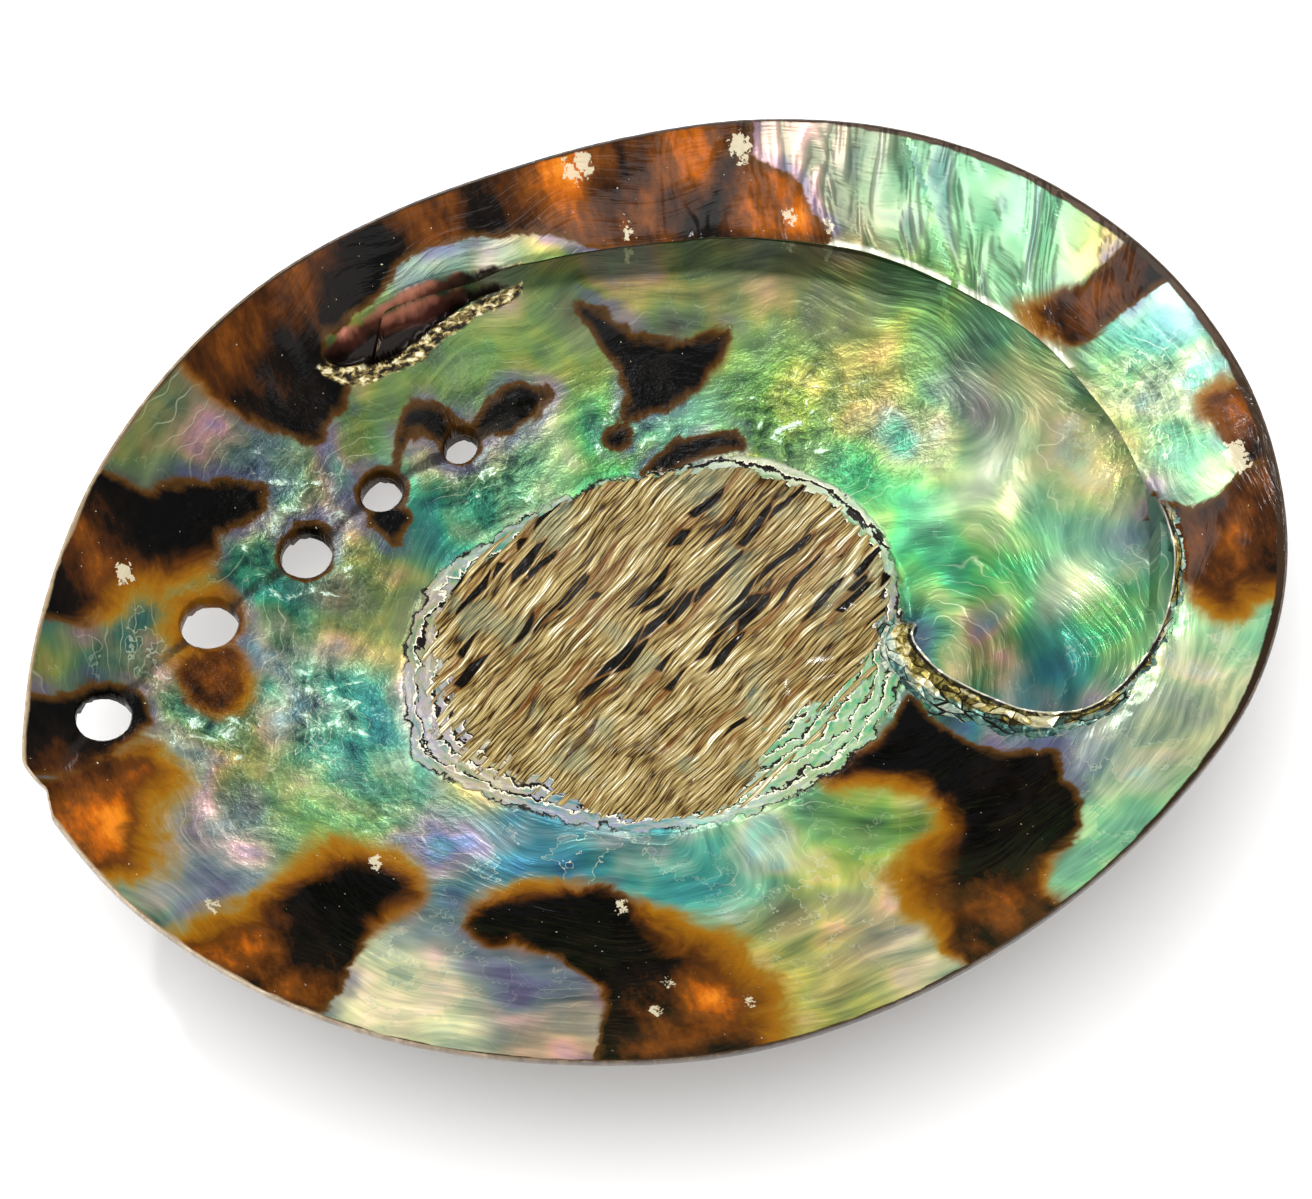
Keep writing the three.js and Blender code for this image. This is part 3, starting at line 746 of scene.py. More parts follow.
# Pearl has no dye in it: its tint comes from the thickness of its layers, and changes from patch to patch.
# Each tint is given where it is seen from above the outer lip: place, reach and how light it is there.
# The lightness given to a tint is partly painted highlight and glow on the pearl, and the dark slate in the
# hollow by the ledge is partly painted shade.
PEARL_TINTS = {
    "olive": (0.16, 0.145, 0.035),
    "khaki": (0.27, 0.21, 0.085),
    "gold": (0.46, 0.38, 0.10),
    "leaf": (0.17, 0.27, 0.06),
    "green": (0.045, 0.25, 0.085),
    "mint": (0.26, 0.55, 0.36),
    "teal": (0.025, 0.17, 0.14),
    "cyan": (0.07, 0.36, 0.38),
    "blue": (0.03, 0.09, 0.19),
    "slate": (0.035, 0.045, 0.07),
    "violet": (0.13, 0.09, 0.22),
    "lilac": (0.36, 0.30, 0.44),
    "pink": (0.66, 0.42, 0.40),
    "cream": (0.80, 0.76, 0.55),
}
TINT_PLACES = {
    "olive": [
        (-17, 46, 9, 1.2), (5, 50, 9, 1.1), (-79, 12, 5, 0.8),
    ],
    "khaki": [
        (20, 47, 8, 0.7), (38, 41, 7, 0.7), (42, 30, 5, 1.1), (-33, 20, 7, 0.8), (-58, 0, 6, 0.7),
        (8, -45, 7, 1.7), (-27, -8, 4, 1.2), (-58, 42, 8, 0.6),
    ],
    "gold": [
        (66, 1, 4, 1.6), (2, -56, 8, 1.3), (74, 30, 4, 0.9),
    ],
    "leaf": [
        (-10, 48, 6, 0.8), (52, 32, 6, 0.8), (64, 12, 6, 1.5), (-52, -10, 6, 1.2), (14, -34, 8, 1.25),
        (-34, 37, 6, 0.7), (28, 33, 6, 1.1),
    ],
    "green": [
        (49, -4, 5, 1.6), (57, -20, 5, 1.0), (47, 1, 6, 1.3), (22, -14, 5, 1.6), (3, 31, 6, 1.0),
        (44, 17, 6, 1.3),
    ],
    "mint": [
        (60, -2, 6, 0.8), (48, 19, 5, 0.45), (-6, 34, 5, 0.7), (-63, 7, 4, 0.6), (-48, -4, 7, 0.6),
        (6, -29, 6, 0.8), (46, -48, 8, 1.0), (70, -28, 7, 1.05), (47, 50, 7, 0.45), (58, 42, 7, 0.55),
        (62, 32, 6, 0.6), (70, 33, 5, 0.7), (72, 10, 8, 0.7), (73, -2, 6, 0.65), (-42, 31, 4, 0.9),
        (14, 33, 5, 0.75),
    ],
    "teal": [
        (-20, 31, 7, 1.2), (-50, 24, 6, 0.9),
    ],
    "cyan": [
        (-43, 5, 7, 0.8), (-14, -28, 6, 0.9), (-1, -32, 6, 1.1), (76, 16, 4, 1.2),
    ],
    "blue": [
        (50, -24, 6, 1.3), (-28, -20, 7, 1.9), (-16, -21, 7, 1.5),
    ],
    "slate": [
        (43, -12, 5, 0.5), (40, -6, 5, 0.5), (-38, -22, 6, 4.0), (-5, 55, 4, 4.0), (-66, 19, 8, 1.5),
    ],
    "violet": [
        (-32, -44, 6, 1.3), (-50, 40, 6, 0.7), (-39, 38, 6, 0.8),
    ],
    "lilac": [
        (-62, -10, 6, 0.9), (-37, -33, 5, 0.8), (46, -37, 5, 1.0), (-31, 4, 4, 0.7), (79, 17, 4, 0.9),
        (-13, 56, 5, 0.6), (67, -5, 4, 0.8),
    ],
    "pink": [
        (52, 20, 4, 0.6), (62, 14, 4, 0.7), (14, -50, 6, 0.9), (-30, -52, 5, 0.6), (38, 56, 10, 0.95),
    ],
    "cream": [
        (52, 9, 5, 0.75), (56, -9, 3, 0.9), (61, 12, 4, 0.6), (18, -60, 6, 0.9), (-48, -43, 7, 0.95),
        (60, -36, 7, 0.7),
    ],
}
EVERYWHERE = 1e-5
tint_weight = np.zeros(len(px))
tint_colour = np.zeros((len(px), 3))
for name, places in TINT_PLACES.items():
    for x, y, reach, light in places:
        near = nearness(x, y, reach) + EVERYWHERE
        tint_weight += near
        tint_colour += near[:, None] * np.array(PEARL_TINTS[name]) * light
tint_colour = tint_colour / tint_weight[:, None]

share_all, angle_all = share_and_angle(px, py)
apex_lines = np.hypot(px - SPIRE[0], py - SPIRE[1]) + growth_wander(px, py)
ring_lines = growth_line(px, py) + 2.6 * hills(px / 14, py / 14, 63)


def facing(direction, spread):
    """1 in a direction from the scar's middle, in degrees, falling to 0 beyond the spread."""
    return np.exp(-((scar_turn % 360 - direction) / spread) ** 2)


# The scar's terraced border is broad at its lower right and its left, and crinkled at its upper right.
edge_away = (share_in - edge_share) * rim_radius(angle_in)
scar_turn = np.degrees(np.arctan2(y_in - 2.5, x_in))
terrace_width = 1.6 + 4.4 * facing(185, 40) - 0.9 * facing(85, 45) + 7.5 * facing(318, 26)
degrees_in = degrees_from(angle_in, 0)
# Where the painted highlight runs along the shelf's free edge.
lip_highlight_share = lip * smooth((72 - degrees_in) / 12)
rippled = lip * smooth((76 - degrees_in) / 12) * smooth((degrees_in - 10) / 6)
# Strength of the painted shade on the wall under the shelf's lip.
lip_shade_strength = lip * mix(0.2, 1, smooth((degrees_in - 15) / 35))
crinkle = np.exp(-((scar_away + 0.1) / 1.3) ** 2) * facing(30, 26)

# Chips where the horny layer has flaked off to the chalky shell: place and half width in millimetres.
CHIPS = [
    (8.8, 61.9, 0.9), (10.8, 62.3, 1.2), (32.3, 58.4, 1.3), (35.9, 47.8, 0.8), (40.7, 44.7, 0.7),
    (14, 52.5, 0.6), (-45.2, -17, 0.8), (-16.1, -32.8, 0.7), (-14.9, -47.9, 0.6), (-18.2, -52.5, 0.6),
    (-6.4, -54.9, 0.6), (-65.2, 26.7, 1.0), (-67.2, -21.2, 0.7), (79.5, -6.5, 1.6),
]
chip = np.full(len(px), NO_STAIN)
for x, y, half in CHIPS:
    chip = np.maximum(chip, half - np.hypot(px - x, 0.7 * (py - y)))

# Where the scar's strands are parted by dark slots, where the pearl is crumpled with painted glints on it,
# and where loose films lie on it.
SLOT_PLACES = [
    (-4, 22, 7, 0.8), (8, 9, 9, 1.0), (20, 12, 9, 0.9), (31, 5, 8, 1.0), (20, 1, 7, 0.7),
    (-18, 17, 6, 0.6),
]
CRUMPLED_PLACES = [
    (-42, 31, 11, 1.0), (-60, 9, 9, 1.0), (-45, 8, 11, 0.8), (-12, 34, 9, 0.9), (8, 32, 8, 0.8),
    (30, 28, 9, 0.9), (42, 24, 8, 0.5), (-42, -8, 9, 0.6), (-58, -8, 9, 0.5), (73, 6, 8, 0.5),
]
FILM_PLACES = [
    (-20, -27, 14, 1.0), (-50, -36, 12, 1.0), (72, -24, 14, 0.9), (73, 5, 10, 1.0), (-60, 20, 12, 0.9),
    (8, -42, 14, 0.8), (-48, 2, 14, 0.7), (48, -46, 14, 0.9), (-38, 34, 8, 0.6),
]


def grey_hills(scale, seed, layers):
    """Slow random hills as a value that mostly lies between 0.2 and 0.8."""
    return np.clip(0.5 + 0.27 * rough_hills(px * scale, py * scale, seed, layers), 0, 1)


def swayed(first, second, scale, reach, seed):
    """Two running measures as one vector, each pushed about a little so that no line stays straight."""
    return np.column_stack([
        first + reach * hills(px * scale, py * scale, seed),
        second + reach * hills(px * scale, py * scale, seed + 1),
        0 * px,
    ])


SCAR_ROUND = 190
LEDGE_LENGTH = 62
SHELF_GRAIN = math.radians(19)
on_top = ring_of >= EDGE_RING
# The painted highlight fades within a millimetre or so above the edge.
highlight_above_edge = np.exp(-edge_away / 1.3)
# The painted shade under the lip fades within about a millimetre below the edge.
shade_below_edge = np.exp(-np.maximum(-edge_away, 0))
FAR_OFF = 50
scar_around = line_distance(x_in, y_in, np.vstack([scar_loop, scar_loop[:1]]))[1]
attributes = {
    "clouds": grey_hills(0.07, 71, 3),
    "sheets": grey_hills(0.10, 75, 3),
    "streaks": streak_field(px, py),
    "stain": stain,
    "soft": strongest(SOFT_BORDERS, CRISP_BORDER),
    "amber": strongest(AMBER_PLACES, 0.0),
    "scar": per_point(-scar_away, -FAR_OFF),
    "terraces": per_point(-scar_away / terrace_width, -FAR_OFF),
    "ledge": per_point(ledge_away, -FAR_OFF),
    "ledge_along": per_point(ledge_along),
    "pocket": per_point(-pocket_away, -FAR_OFF),
    "shelf": per_point(np.where(on_top, rippled, 0)),
    # The next two values: where the painted highlight lies along the shelf's free edge, and where painted
    # shade lies on the wall under it.
    "lip": per_point(np.where(on_top, lip_highlight_share * highlight_above_edge, 0)),
    "painted_shade_below_lip": per_point(np.where(on_top, 0, lip_shade_strength * shade_below_edge)),
    "crinkle": per_point(crinkle),
    "chip": chip,
    "slots": strongest(SLOT_PLACES, 0.0),
    "films": strongest(FILM_PLACES, 0.1),
    "crumple": strongest(CRUMPLED_PLACES, 0.0),
    "rim_away": (1 - share_all) * rim_radius(angle_all),
    "hole": hole_distance(px, py),
    "crease": np.abs(line_distance(px, py, crease_curve)[0]),
}
fibre_along, fibre_across = fibre_coordinates(px, py)
vectors = {
    "tint": tint_colour,
    "flow": np.column_stack([px, py, apex_lines]),
    "rings": np.column_stack([px, py, ring_lines]),
    "fibre": swayed(fibre_along, fibre_across, 0.15, 0.5, 81),
    "border": swayed(per_point(scar_away, FAR_OFF), per_point(SCAR_ROUND * scar_around), 0.25, 0.6, 83),
    "fold": swayed(per_point(ledge_away, FAR_OFF), per_point(LEDGE_LENGTH * ledge_along), 0.3, 0.6, 85),
    "grain": swayed(px * math.cos(SHELF_GRAIN) - py * math.sin(SHELF_GRAIN),
                    px * math.sin(SHELF_GRAIN) + py * math.cos(SHELF_GRAIN), 0.06, 1.6, 87),
}
for name, values in attributes.items():
    layer = shell_mesh.attributes.new(name, "FLOAT", "POINT")
    layer.data.foreach_set("value", values.astype(np.float32))
for name, values in vectors.items():
    layer = shell_mesh.attributes.new(name, "FLOAT_VECTOR", "POINT")
    layer.data.foreach_set("vector", values.astype(np.float32).ravel())

shell = bpy.data.objects.new("abalone_shell_lining_and_back", shell_mesh)
bpy.context.scene.collection.objects.link(shell)


# The colours and surfaces are built as node trees, from the values at the mesh's points and from noise.
class Tree:
    """A material's node tree with short ways to add and join nodes."""

    def __init__(self, name):
        self.material = bpy.data.materials.new(name)
        self.material.use_nodes = True
        self.nodes = self.material.node_tree.nodes
        self.links = self.material.node_tree.links
        self.surface = self.nodes["Principled BSDF"]

    def put(self, value, socket):
        if isinstance(value, bpy.types.NodeSocket):
            self.links.new(value, socket)
        elif isinstance(value, tuple) and len(value) == 3 and socket.type == "RGBA":
            socket.default_value = (*value, 1)
        else:
            socket.default_value = value

    def value(self, name):
        """One of the mesh's values, worked out for each point above."""
        node = self.nodes.new("ShaderNodeAttribute")
        node.attribute_name = name
        return node.outputs["Fac"]

    def vector(self, name):
        node = self.nodes.new("ShaderNodeAttribute")
        node.attribute_name = name
        return node.outputs["Vector"]

    def place(self):
        """The place on the object in millimetres."""
        node = self.nodes.new("ShaderNodeTexCoord")
        return self.scaled(node.outputs["Object"], (1 / MM, 1 / MM, 1 / MM))

    def scaled(self, vector, scale):
        node = self.nodes.new("ShaderNodeVectorMath")
        node.operation = "MULTIPLY"
        self.put(vector, node.inputs[0])
        node.inputs[1].default_value = scale
        return node.outputs["Vector"]

    def plan_of(self, vector):
        node = self.nodes.new("ShaderNodeSeparateXYZ")
        self.put(vector, node.inputs["Vector"])
        return node.outputs["X"], node.outputs["Y"]

    def depth_of(self, vector):
        node = self.nodes.new("ShaderNodeSeparateXYZ")
        self.put(vector, node.inputs["Vector"])
        return node.outputs["Z"]

    def maths(self, operation, first, second=0.0, third=0.0):
        node = self.nodes.new("ShaderNodeMath")
        node.operation = operation
        self.put(first, node.inputs[0])
        self.put(second, node.inputs[1])
        if operation == "MULTIPLY_ADD":
            self.put(third, node.inputs[2])
        return node.outputs[0]

    def ramp_between(self, value, low, high):
        """0 at low, 1 at high, smooth between, either way round."""
        node = self.nodes.new("ShaderNodeMapRange")
        node.interpolation_type = "SMOOTHSTEP"
        self.put(value, node.inputs["Value"])
        self.put(min(low, high), node.inputs["From Min"])
        self.put(max(low, high), node.inputs["From Max"])
        node.inputs["To Min"].default_value = 0.0 if low < high else 1.0
        node.inputs["To Max"].default_value = 1.0 if low < high else 0.0
        return node.outputs["Result"]

    def noise(self, vector, scale, detail=4.0, rough=0.55, twist=0.0, flat=True):
        node = self.nodes.new("ShaderNodeTexNoise")
        node.noise_dimensions = "2D" if flat else "3D"
        self.put(vector, node.inputs["Vector"])
        node.inputs["Scale"].default_value = scale
        node.inputs["Detail"].default_value = detail
        node.inputs["Roughness"].default_value = rough
        node.inputs["Distortion"].default_value = twist
        return node.outputs["Fac"]

    def cracks(self, vector):
        """Distance to the edge of the nearest plate, one plate to a unit."""
        node = self.nodes.new("ShaderNodeTexVoronoi")
        node.voronoi_dimensions = "2D"
        node.feature = "DISTANCE_TO_EDGE"
        node.inputs["Scale"].default_value = 1.0
        self.put(vector, node.inputs["Vector"])
        return node.outputs["Distance"]

    def plate_values(self, vector):
        """A random value for each plate of the same pattern."""
        node = self.nodes.new("ShaderNodeTexVoronoi")
        node.voronoi_dimensions = "2D"
        node.inputs["Scale"].default_value = 1.0
        self.put(vector, node.inputs["Vector"])
        split = self.nodes.new("ShaderNodeSeparateColor")
        self.put(node.outputs["Color"], split.inputs["Color"])
        return split.outputs["Red"]

    def less_half(self, value):
        return self.maths("SUBTRACT", value, 0.5)

    def plus_times(self, base, value, factor):
        return self.maths("MULTIPLY_ADD", value, factor, base)

    def band(self, value, low_out, low_in, high_in, high_out):
        """1 between the two inner limits and 0 outside the outer ones."""
        return self.maths("MULTIPLY", self.ramp_between(value, low_out, low_in),
                          self.ramp_between(value, high_out, high_in))

    def times(self, *values):
        total = values[0]
        for value in values[1:]:
            total = self.maths("MULTIPLY", total, value)
        return total

    def blend_value(self, share, first, second):
        return self.maths("MULTIPLY_ADD", share, self.maths("SUBTRACT", second, first), first)

    def colours(self, value, stops):
        node = self.nodes.new("ShaderNodeValToRGB")
        self.put(value, node.inputs["Fac"])
        stops = sorted(stops)
        ramp = node.color_ramp
        while len(ramp.elements) < len(stops):
            ramp.elements.new(0.5)
        for element, (at, colour) in zip(ramp.elements, stops):
            element.position = at
            element.color = (*colour, 1)
        return node.outputs["Color"]

    def blend(self, share, first, second, kind="MIX"):
        node = self.nodes.new("ShaderNodeMix")
        node.data_type = "RGBA"
        node.blend_type = kind
        self.put(share, node.inputs["Factor"])
        self.put(first, node.inputs["A"])
        self.put(second, node.inputs["B"])
        return node.outputs["Result"]

    def relief(self, heights):
        """One bump from several reliefs, each a height and how many metres one unit of it stands for."""
        total = 0.0
        for height, depth in heights:
            total = self.maths("MULTIPLY_ADD", height, depth / MM, total)
        node = self.nodes.new("ShaderNodeBump")
        node.inputs["Strength"].default_value = 1.0
        node.inputs["Distance"].default_value = MM
        self.put(total, node.inputs["Height"])
        self.links.new(node.outputs["Normal"], self.surface.inputs["Normal"])


# Mother-of-pearl: many thin clear layers that split the light, so its tint wanders in silky streaks.
RAINBOW = [
    (0.22, (0.03, 0.08, 0.16)),
    (0.34, (0.02, 0.22, 0.19)),
    (0.44, (0.05, 0.34, 0.12)),
    (0.53, (0.26, 0.38, 0.07)),
    (0.62, (0.56, 0.44, 0.15)),
    (0.70, (0.72, 0.36, 0.28)),
    (0.80, (0.34, 0.22, 0.44)),
    (0.90, (0.10, 0.38, 0.46)),
]
# The pearl's lightness from dark to bright: partly its own tone at random, partly painted sheen; the top
# stop, brighter than white, is a painted highlight.
TONES = [
    (0.08, (0.14, 0.19, 0.25)),
    (0.30, (0.48, 0.57, 0.56)),
    (0.52, (0.93, 0.95, 0.88)),
    (0.82, (1.9, 1.75, 1.5)),
]
# The shelf's ripples: the dark troughs are painted shade, the white stop a painted highlight, the mint and
# pink between them the pearl's own tints.
RIPPLE_TINT_HIGHLIGHT_SHADE = [
    (0.28, (0.12, 0.22, 0.18)),
    (0.40, (0.38, 0.56, 0.42)),
    (0.49, (0.78, 0.82, 0.70)),
    (0.56, (1.35, 1.20, 1.10)),
    (0.64, (0.95, 0.72, 0.95)),
    (0.74, (0.34, 0.42, 0.52)),
]


# A painted glint on the crumpled pearl.
PAINTED_GLINT = (0.66, 0.88, 0.74)
FINE_LINE = (0.80, 0.85, 0.60)
FILM_EDGE = (0.62, 0.68, 0.50)
SILK_RELIEF = 0.00022
CRUMPLE_RELIEF = 0.0016
RIPPLE_RELIEF = 0.0016


def silky_pearl(tree, place, on_shelf):
    """Colour and relief of the bare pearl. On the shelf it is rippled."""
    rings = tree.vector("rings")
    clouds = tree.value("clouds")
    sheets = tree.value("sheets")
    films = tree.value("films")
    silk = tree.noise(tree.scaled(rings, (0.10, 0.10, 0.95)), 1.0, 3.0, 0.55, 0.0, flat=False)
    film = tree.noise(place, 0.11, 4.0, 0.62, 0.2)
    film_here = tree.times(tree.ramp_between(film, 0.525, 0.53), films)
    film_edge = tree.times(tree.band(film, 0.516, 0.525, 0.527, 0.536), films)
    shimmer = tree.plus_times(sheets, tree.less_half(clouds), 0.8)
    shimmer = tree.plus_times(shimmer, film_here, 0.10)
    colour = tree.blend(0.26, tree.vector("tint"), tree.colours(shimmer, RAINBOW))
    # Painted sheen: the streaks, silk and sheets lighten and darken the pearl, up to painted highlights
    # brighter than white.
    depth = tree.plus_times(0.90, tree.less_half(tree.value("streaks")), 1.3)
    depth = tree.plus_times(depth, tree.less_half(silk), 1.3)
    depth = tree.plus_times(depth, tree.less_half(sheets), 1.1)
    depth = tree.plus_times(depth, film_here, 0.14)
    crumple = tree.noise(tree.scaled(place, (0.75, 1.25, 1)), 0.36, 4.0, 0.66, 0.25)
    crumple = tree.times(tree.less_half(crumple), tree.value("crumple"))
    # The crumples are real relief; their light and dark in the tone is painted sparkle.
    depth = tree.plus_times(depth, crumple, 4.4)
    colour = tree.blend(1.0, colour, tree.colours(tree.times(depth, 0.5), TONES), "MULTIPLY")
    # Painted glints on the tops of the crumples.
    colour = tree.blend(tree.times(tree.ramp_between(crumple, 0.06, 0.13), 0.75), colour, PAINTED_GLINT)
    heights = [(silk, SILK_RELIEF), (crumple, CRUMPLE_RELIEF)]
    if on_shelf:
        # Painted highlights and shade on the shelf's ripples, over their real relief.
        ripple = tree.noise(tree.scaled(tree.vector("grain"), (0.19, 0.055, 0.0)), 1.0, 2.0, 0.6, 0.6)
        shelf = tree.value("shelf")
        rippled = tree.blend(1.0, tree.vector("tint"), tree.colours(ripple, RIPPLE_TINT_HIGHLIGHT_SHADE), "MULTIPLY")
        colour = tree.blend(tree.times(shelf, 0.85), colour, rippled)
        heights.append((tree.times(ripple, shelf), RIPPLE_RELIEF))
    else:
        ring = tree.depth_of(rings)
        line_field = tree.plus_times(tree.times(tree.noise(place, 0.12, 2.0), 3.0), ring, 0.7)
        line = tree.ramp_between(tree.maths("PINGPONG", line_field, 0.5), 0.06, 0.0)
        out_of_middle = tree.ramp_between(ring, 28.0, 33.0)
        line = tree.times(line, tree.ramp_between(clouds, 0.42, 0.62), out_of_middle)
        colour = tree.blend(tree.times(line, 0.25), colour, FINE_LINE)
    return tree.blend(tree.times(film_edge, 0.6), colour, FILM_EDGE), heights


# Stains of brown and black horn, which shows through where the pearl over it is thin or missing.
# Crisp borders have a violet-blue line outside, and soft ones glow olive, gold and amber.
HORN = [
    (0.05, (0.001, 0.001, 0.001)),
    (0.30, (0.005, 0.003, 0.002)),
    (0.50, (0.050, 0.015, 0.003)),
    (0.70, (0.14, 0.040, 0.005)),
    (0.88, (0.38, 0.088, 0.004)),
    (1.00, (0.58, 0.17, 0.010)),
]
GLOW = [
    (0.05, (0.22, 0.21, 0.05)),
    (0.22, (0.23, 0.15, 0.014)),
    (0.38, (0.22, 0.085, 0.004)),
    (0.55, (0.085, 0.026, 0.003)),
    (0.75, (0.010, 0.005, 0.002)),
]


HORN_BORDER = (0.085, 0.036, 0.006)
VIOLET_LINE = (0.075, 0.065, 0.16)
CHALK = (0.55, 0.49, 0.34)


def stained(tree, place, colour, wander):
    """Lays the stains, their specks and their chips over the pearl."""
    soft = tree.value("soft")
    clouds = tree.value("clouds")
    stain_mm = tree.plus_times(tree.value("stain"), wander, tree.plus_times(2.6, soft, 1.2))
    stain = tree.maths("DIVIDE", stain_mm, soft)
    softness = tree.ramp_between(soft, 0.75, 2.2)
    flecks = tree.noise(tree.scaled(place, (1.0, 0.55, 1)), 0.30, 5.0, 0.65)
    warm = tree.plus_times(tree.value("amber"), tree.less_half(flecks), 0.75)
    warm = tree.plus_times(warm, tree.less_half(clouds), 0.8)
    horn = tree.colours(warm, HORN)
    horn = tree.blend(tree.times(tree.ramp_between(stain_mm, 1.4, 0.1), 0.75), horn, HORN_BORDER)
    glow = tree.colours(tree.plus_times(0.4, stain, 0.25), GLOW)
    stain_colour = tree.blend(softness, horn, tree.blend(tree.ramp_between(stain, 0.4, 1.6), glow, horn))
    crisp_stain = tree.ramp_between(stain, -0.5, 0.5)
    stain_here = tree.blend_value(softness, crisp_stain, tree.ramp_between(stain, -1.5, -0.2))
    fringe = tree.times(tree.ramp_between(stain_mm, -2.4, -0.5), tree.maths("SUBTRACT", 1.0, softness))
    fringe = tree.times(fringe, tree.ramp_between(clouds, 0.42, 0.58), 0.6)
    colour = tree.blend(fringe, colour, VIOLET_LINE)
    colour = tree.blend(stain_here, colour, stain_colour)
    speck = tree.times(tree.ramp_between(tree.noise(place, 1.5, 2.0, 0.5), 0.80, 0.82), stain_here)
    ragged = tree.less_half(tree.noise(place, 0.9, 3.0, 0.7))
    chip = tree.ramp_between(tree.plus_times(tree.value("chip"), ragged, 3.0), 0.0, 0.15)
    chip = tree.maths("MAXIMUM", chip, speck)
    return tree.blend(tree.times(chip, 0.8), colour, CHALK), stain_here


# The scar's finish: khaki-gold strands of the shell that held the muscle, laid side by side and slanting,
# with deep dark slots between them that are rust-brown at their borders.
# The strands' tones run from dark joints to khaki-gold, and the palest cream stop is a painted glint on the
# lightest strands.
STRAND_TONES_AND_GLINTS = [
    (0.10, (0.018, 0.009, 0.003)),
    (0.26, (0.11, 0.060, 0.016)),
    (0.44, (0.25, 0.170, 0.055)),
    (0.68, (0.41, 0.31, 0.125)),
    (0.88, (0.56, 0.46, 0.23)),
    (1.00, (0.90, 0.84, 0.62)),
]


GREENISH = (0.20, 0.27, 0.18)
RUST = (0.17, 0.055, 0.008)
SLOT_DARK = (0.004, 0.003, 0.002)
STRAND_RELIEF = 0.0006


def scar_strands(tree):
    fibre = tree.vector("fibre")
    strand_place = tree.scaled(fibre, (0.085, 1.35, 1))
    strand_value = tree.plate_values(strand_place)
    strand = tree.ramp_between(tree.cracks(strand_place), 0.0, 0.26)
    thread = tree.ramp_between(tree.cracks(tree.scaled(fibre, (0.22, 3.1, 1))), 0.0, 0.28)
    tone = tree.plus_times(tree.plus_times(tree.times(strand, 0.42), thread, 0.26), strand_value, 0.38)
    patchy = tree.plus_times(tree.plus_times(-0.04, tone, 1.0), tree.less_half(tree.value("clouds")), 0.5)
    colour = tree.colours(patchy, STRAND_TONES_AND_GLINTS)
    greenish = tree.ramp_between(tree.value("sheets"), 0.54, 0.70)
    colour = tree.blend(tree.times(greenish, 0.4), colour, GREENISH)
    slot_place = tree.scaled(fibre, (0.13, 0.95, 1))
    missing = tree.plus_times(tree.plate_values(slot_place), tree.value("slots"), -0.37)
    rust = tree.times(tree.ramp_between(missing, 0.22, 0.08), 0.6)
    in_slot = tree.ramp_between(tree.cracks(slot_place), 0.05, 0.12)
    slot = tree.times(tree.ramp_between(missing, 0.04, 0.03), in_slot)
    colour = tree.blend(rust, colour, RUST)
    colour = tree.blend(slot, colour, SLOT_DARK)
    return colour, tree.maths("SUBTRACT", tone, slot), strand_value


# The scar's terraces: thin layers left round it as the muscle moved on, parted by black lines.
# At its upper right they are crinkled black and cream.
PLATES = [
    (0.26, (0.04, 0.10, 0.08)),
    (0.38, (0.12, 0.24, 0.17)),
    (0.48, (0.34, 0.30, 0.16)),
    (0.56, (0.26, 0.24, 0.32)),
    (0.64, (0.52, 0.46, 0.32)),
    (0.74, (0.22, 0.42, 0.34)),
]


CRINKLED_CREAM = (0.75, 0.78, 0.62)
LAYER_EDGE = (0.78, 0.74, 0.58)
LAYER_LINE = (0.008, 0.006, 0.005)
LAYER_RELIEF = 0.00035


def bordered_scar(tree, place, colour, wander):
    """Lays the scar with its terraces over the pearl."""
    strands, strand_height, strand_value = scar_strands(tree)
    rough = tree.less_half(tree.noise(place, 0.24, 4.0, 0.66, 0.3))
    fleck = tree.noise(tree.scaled(tree.vector("border"), (0.8, 0.22, 1)), 1.0, 3.0, 0.6)
    layers = tree.plus_times(tree.times(tree.value("scar"), 0.5), rough, 2.2)
    layers = tree.plus_times(layers, tree.less_half(fleck), 0.5)
    layer = tree.maths("FRACT", layers)
    plates = tree.blend(0.4, tree.colours(fleck, PLATES), tree.vector("tint"))
    crinkle = tree.ramp_between(tree.plus_times(tree.value("crinkle"), wander, 0.8), 0.25, 0.6)
    plates = tree.blend(tree.times(crinkle, 0.4), plates, CRINKLED_CREAM)
    plates = tree.blend(tree.ramp_between(layer, 0.82, 0.98), plates, LAYER_EDGE)
    line = tree.plus_times(tree.plus_times(0.17, wander, 0.9), crinkle, 0.12)
    line = tree.ramp_between(tree.maths("SUBTRACT", line, layer), -0.04, 0.03)
    plates = tree.blend(line, plates, LAYER_LINE)
    terraces = tree.plus_times(tree.value("terraces"), rough, 0.9)
    frayed = tree.plus_times(terraces, tree.less_half(strand_value), 0.9)
    on_strands = tree.ramp_between(frayed, 0.95, 1.02)
    scar_here = tree.ramp_between(tree.plus_times(tree.value("scar"), rough, 4.0), -0.15, 0.25)
    bordered = tree.maths("MAXIMUM", scar_here, crinkle)
    colour = tree.blend(bordered, colour, tree.blend(on_strands, plates, strands))
    strands_here = tree.times(strand_height, bordered, on_strands)
    heights = [(tree.times(layer, bordered), LAYER_RELIEF), (strands_here, STRAND_RELIEF)]
    return colour, heights, bordered


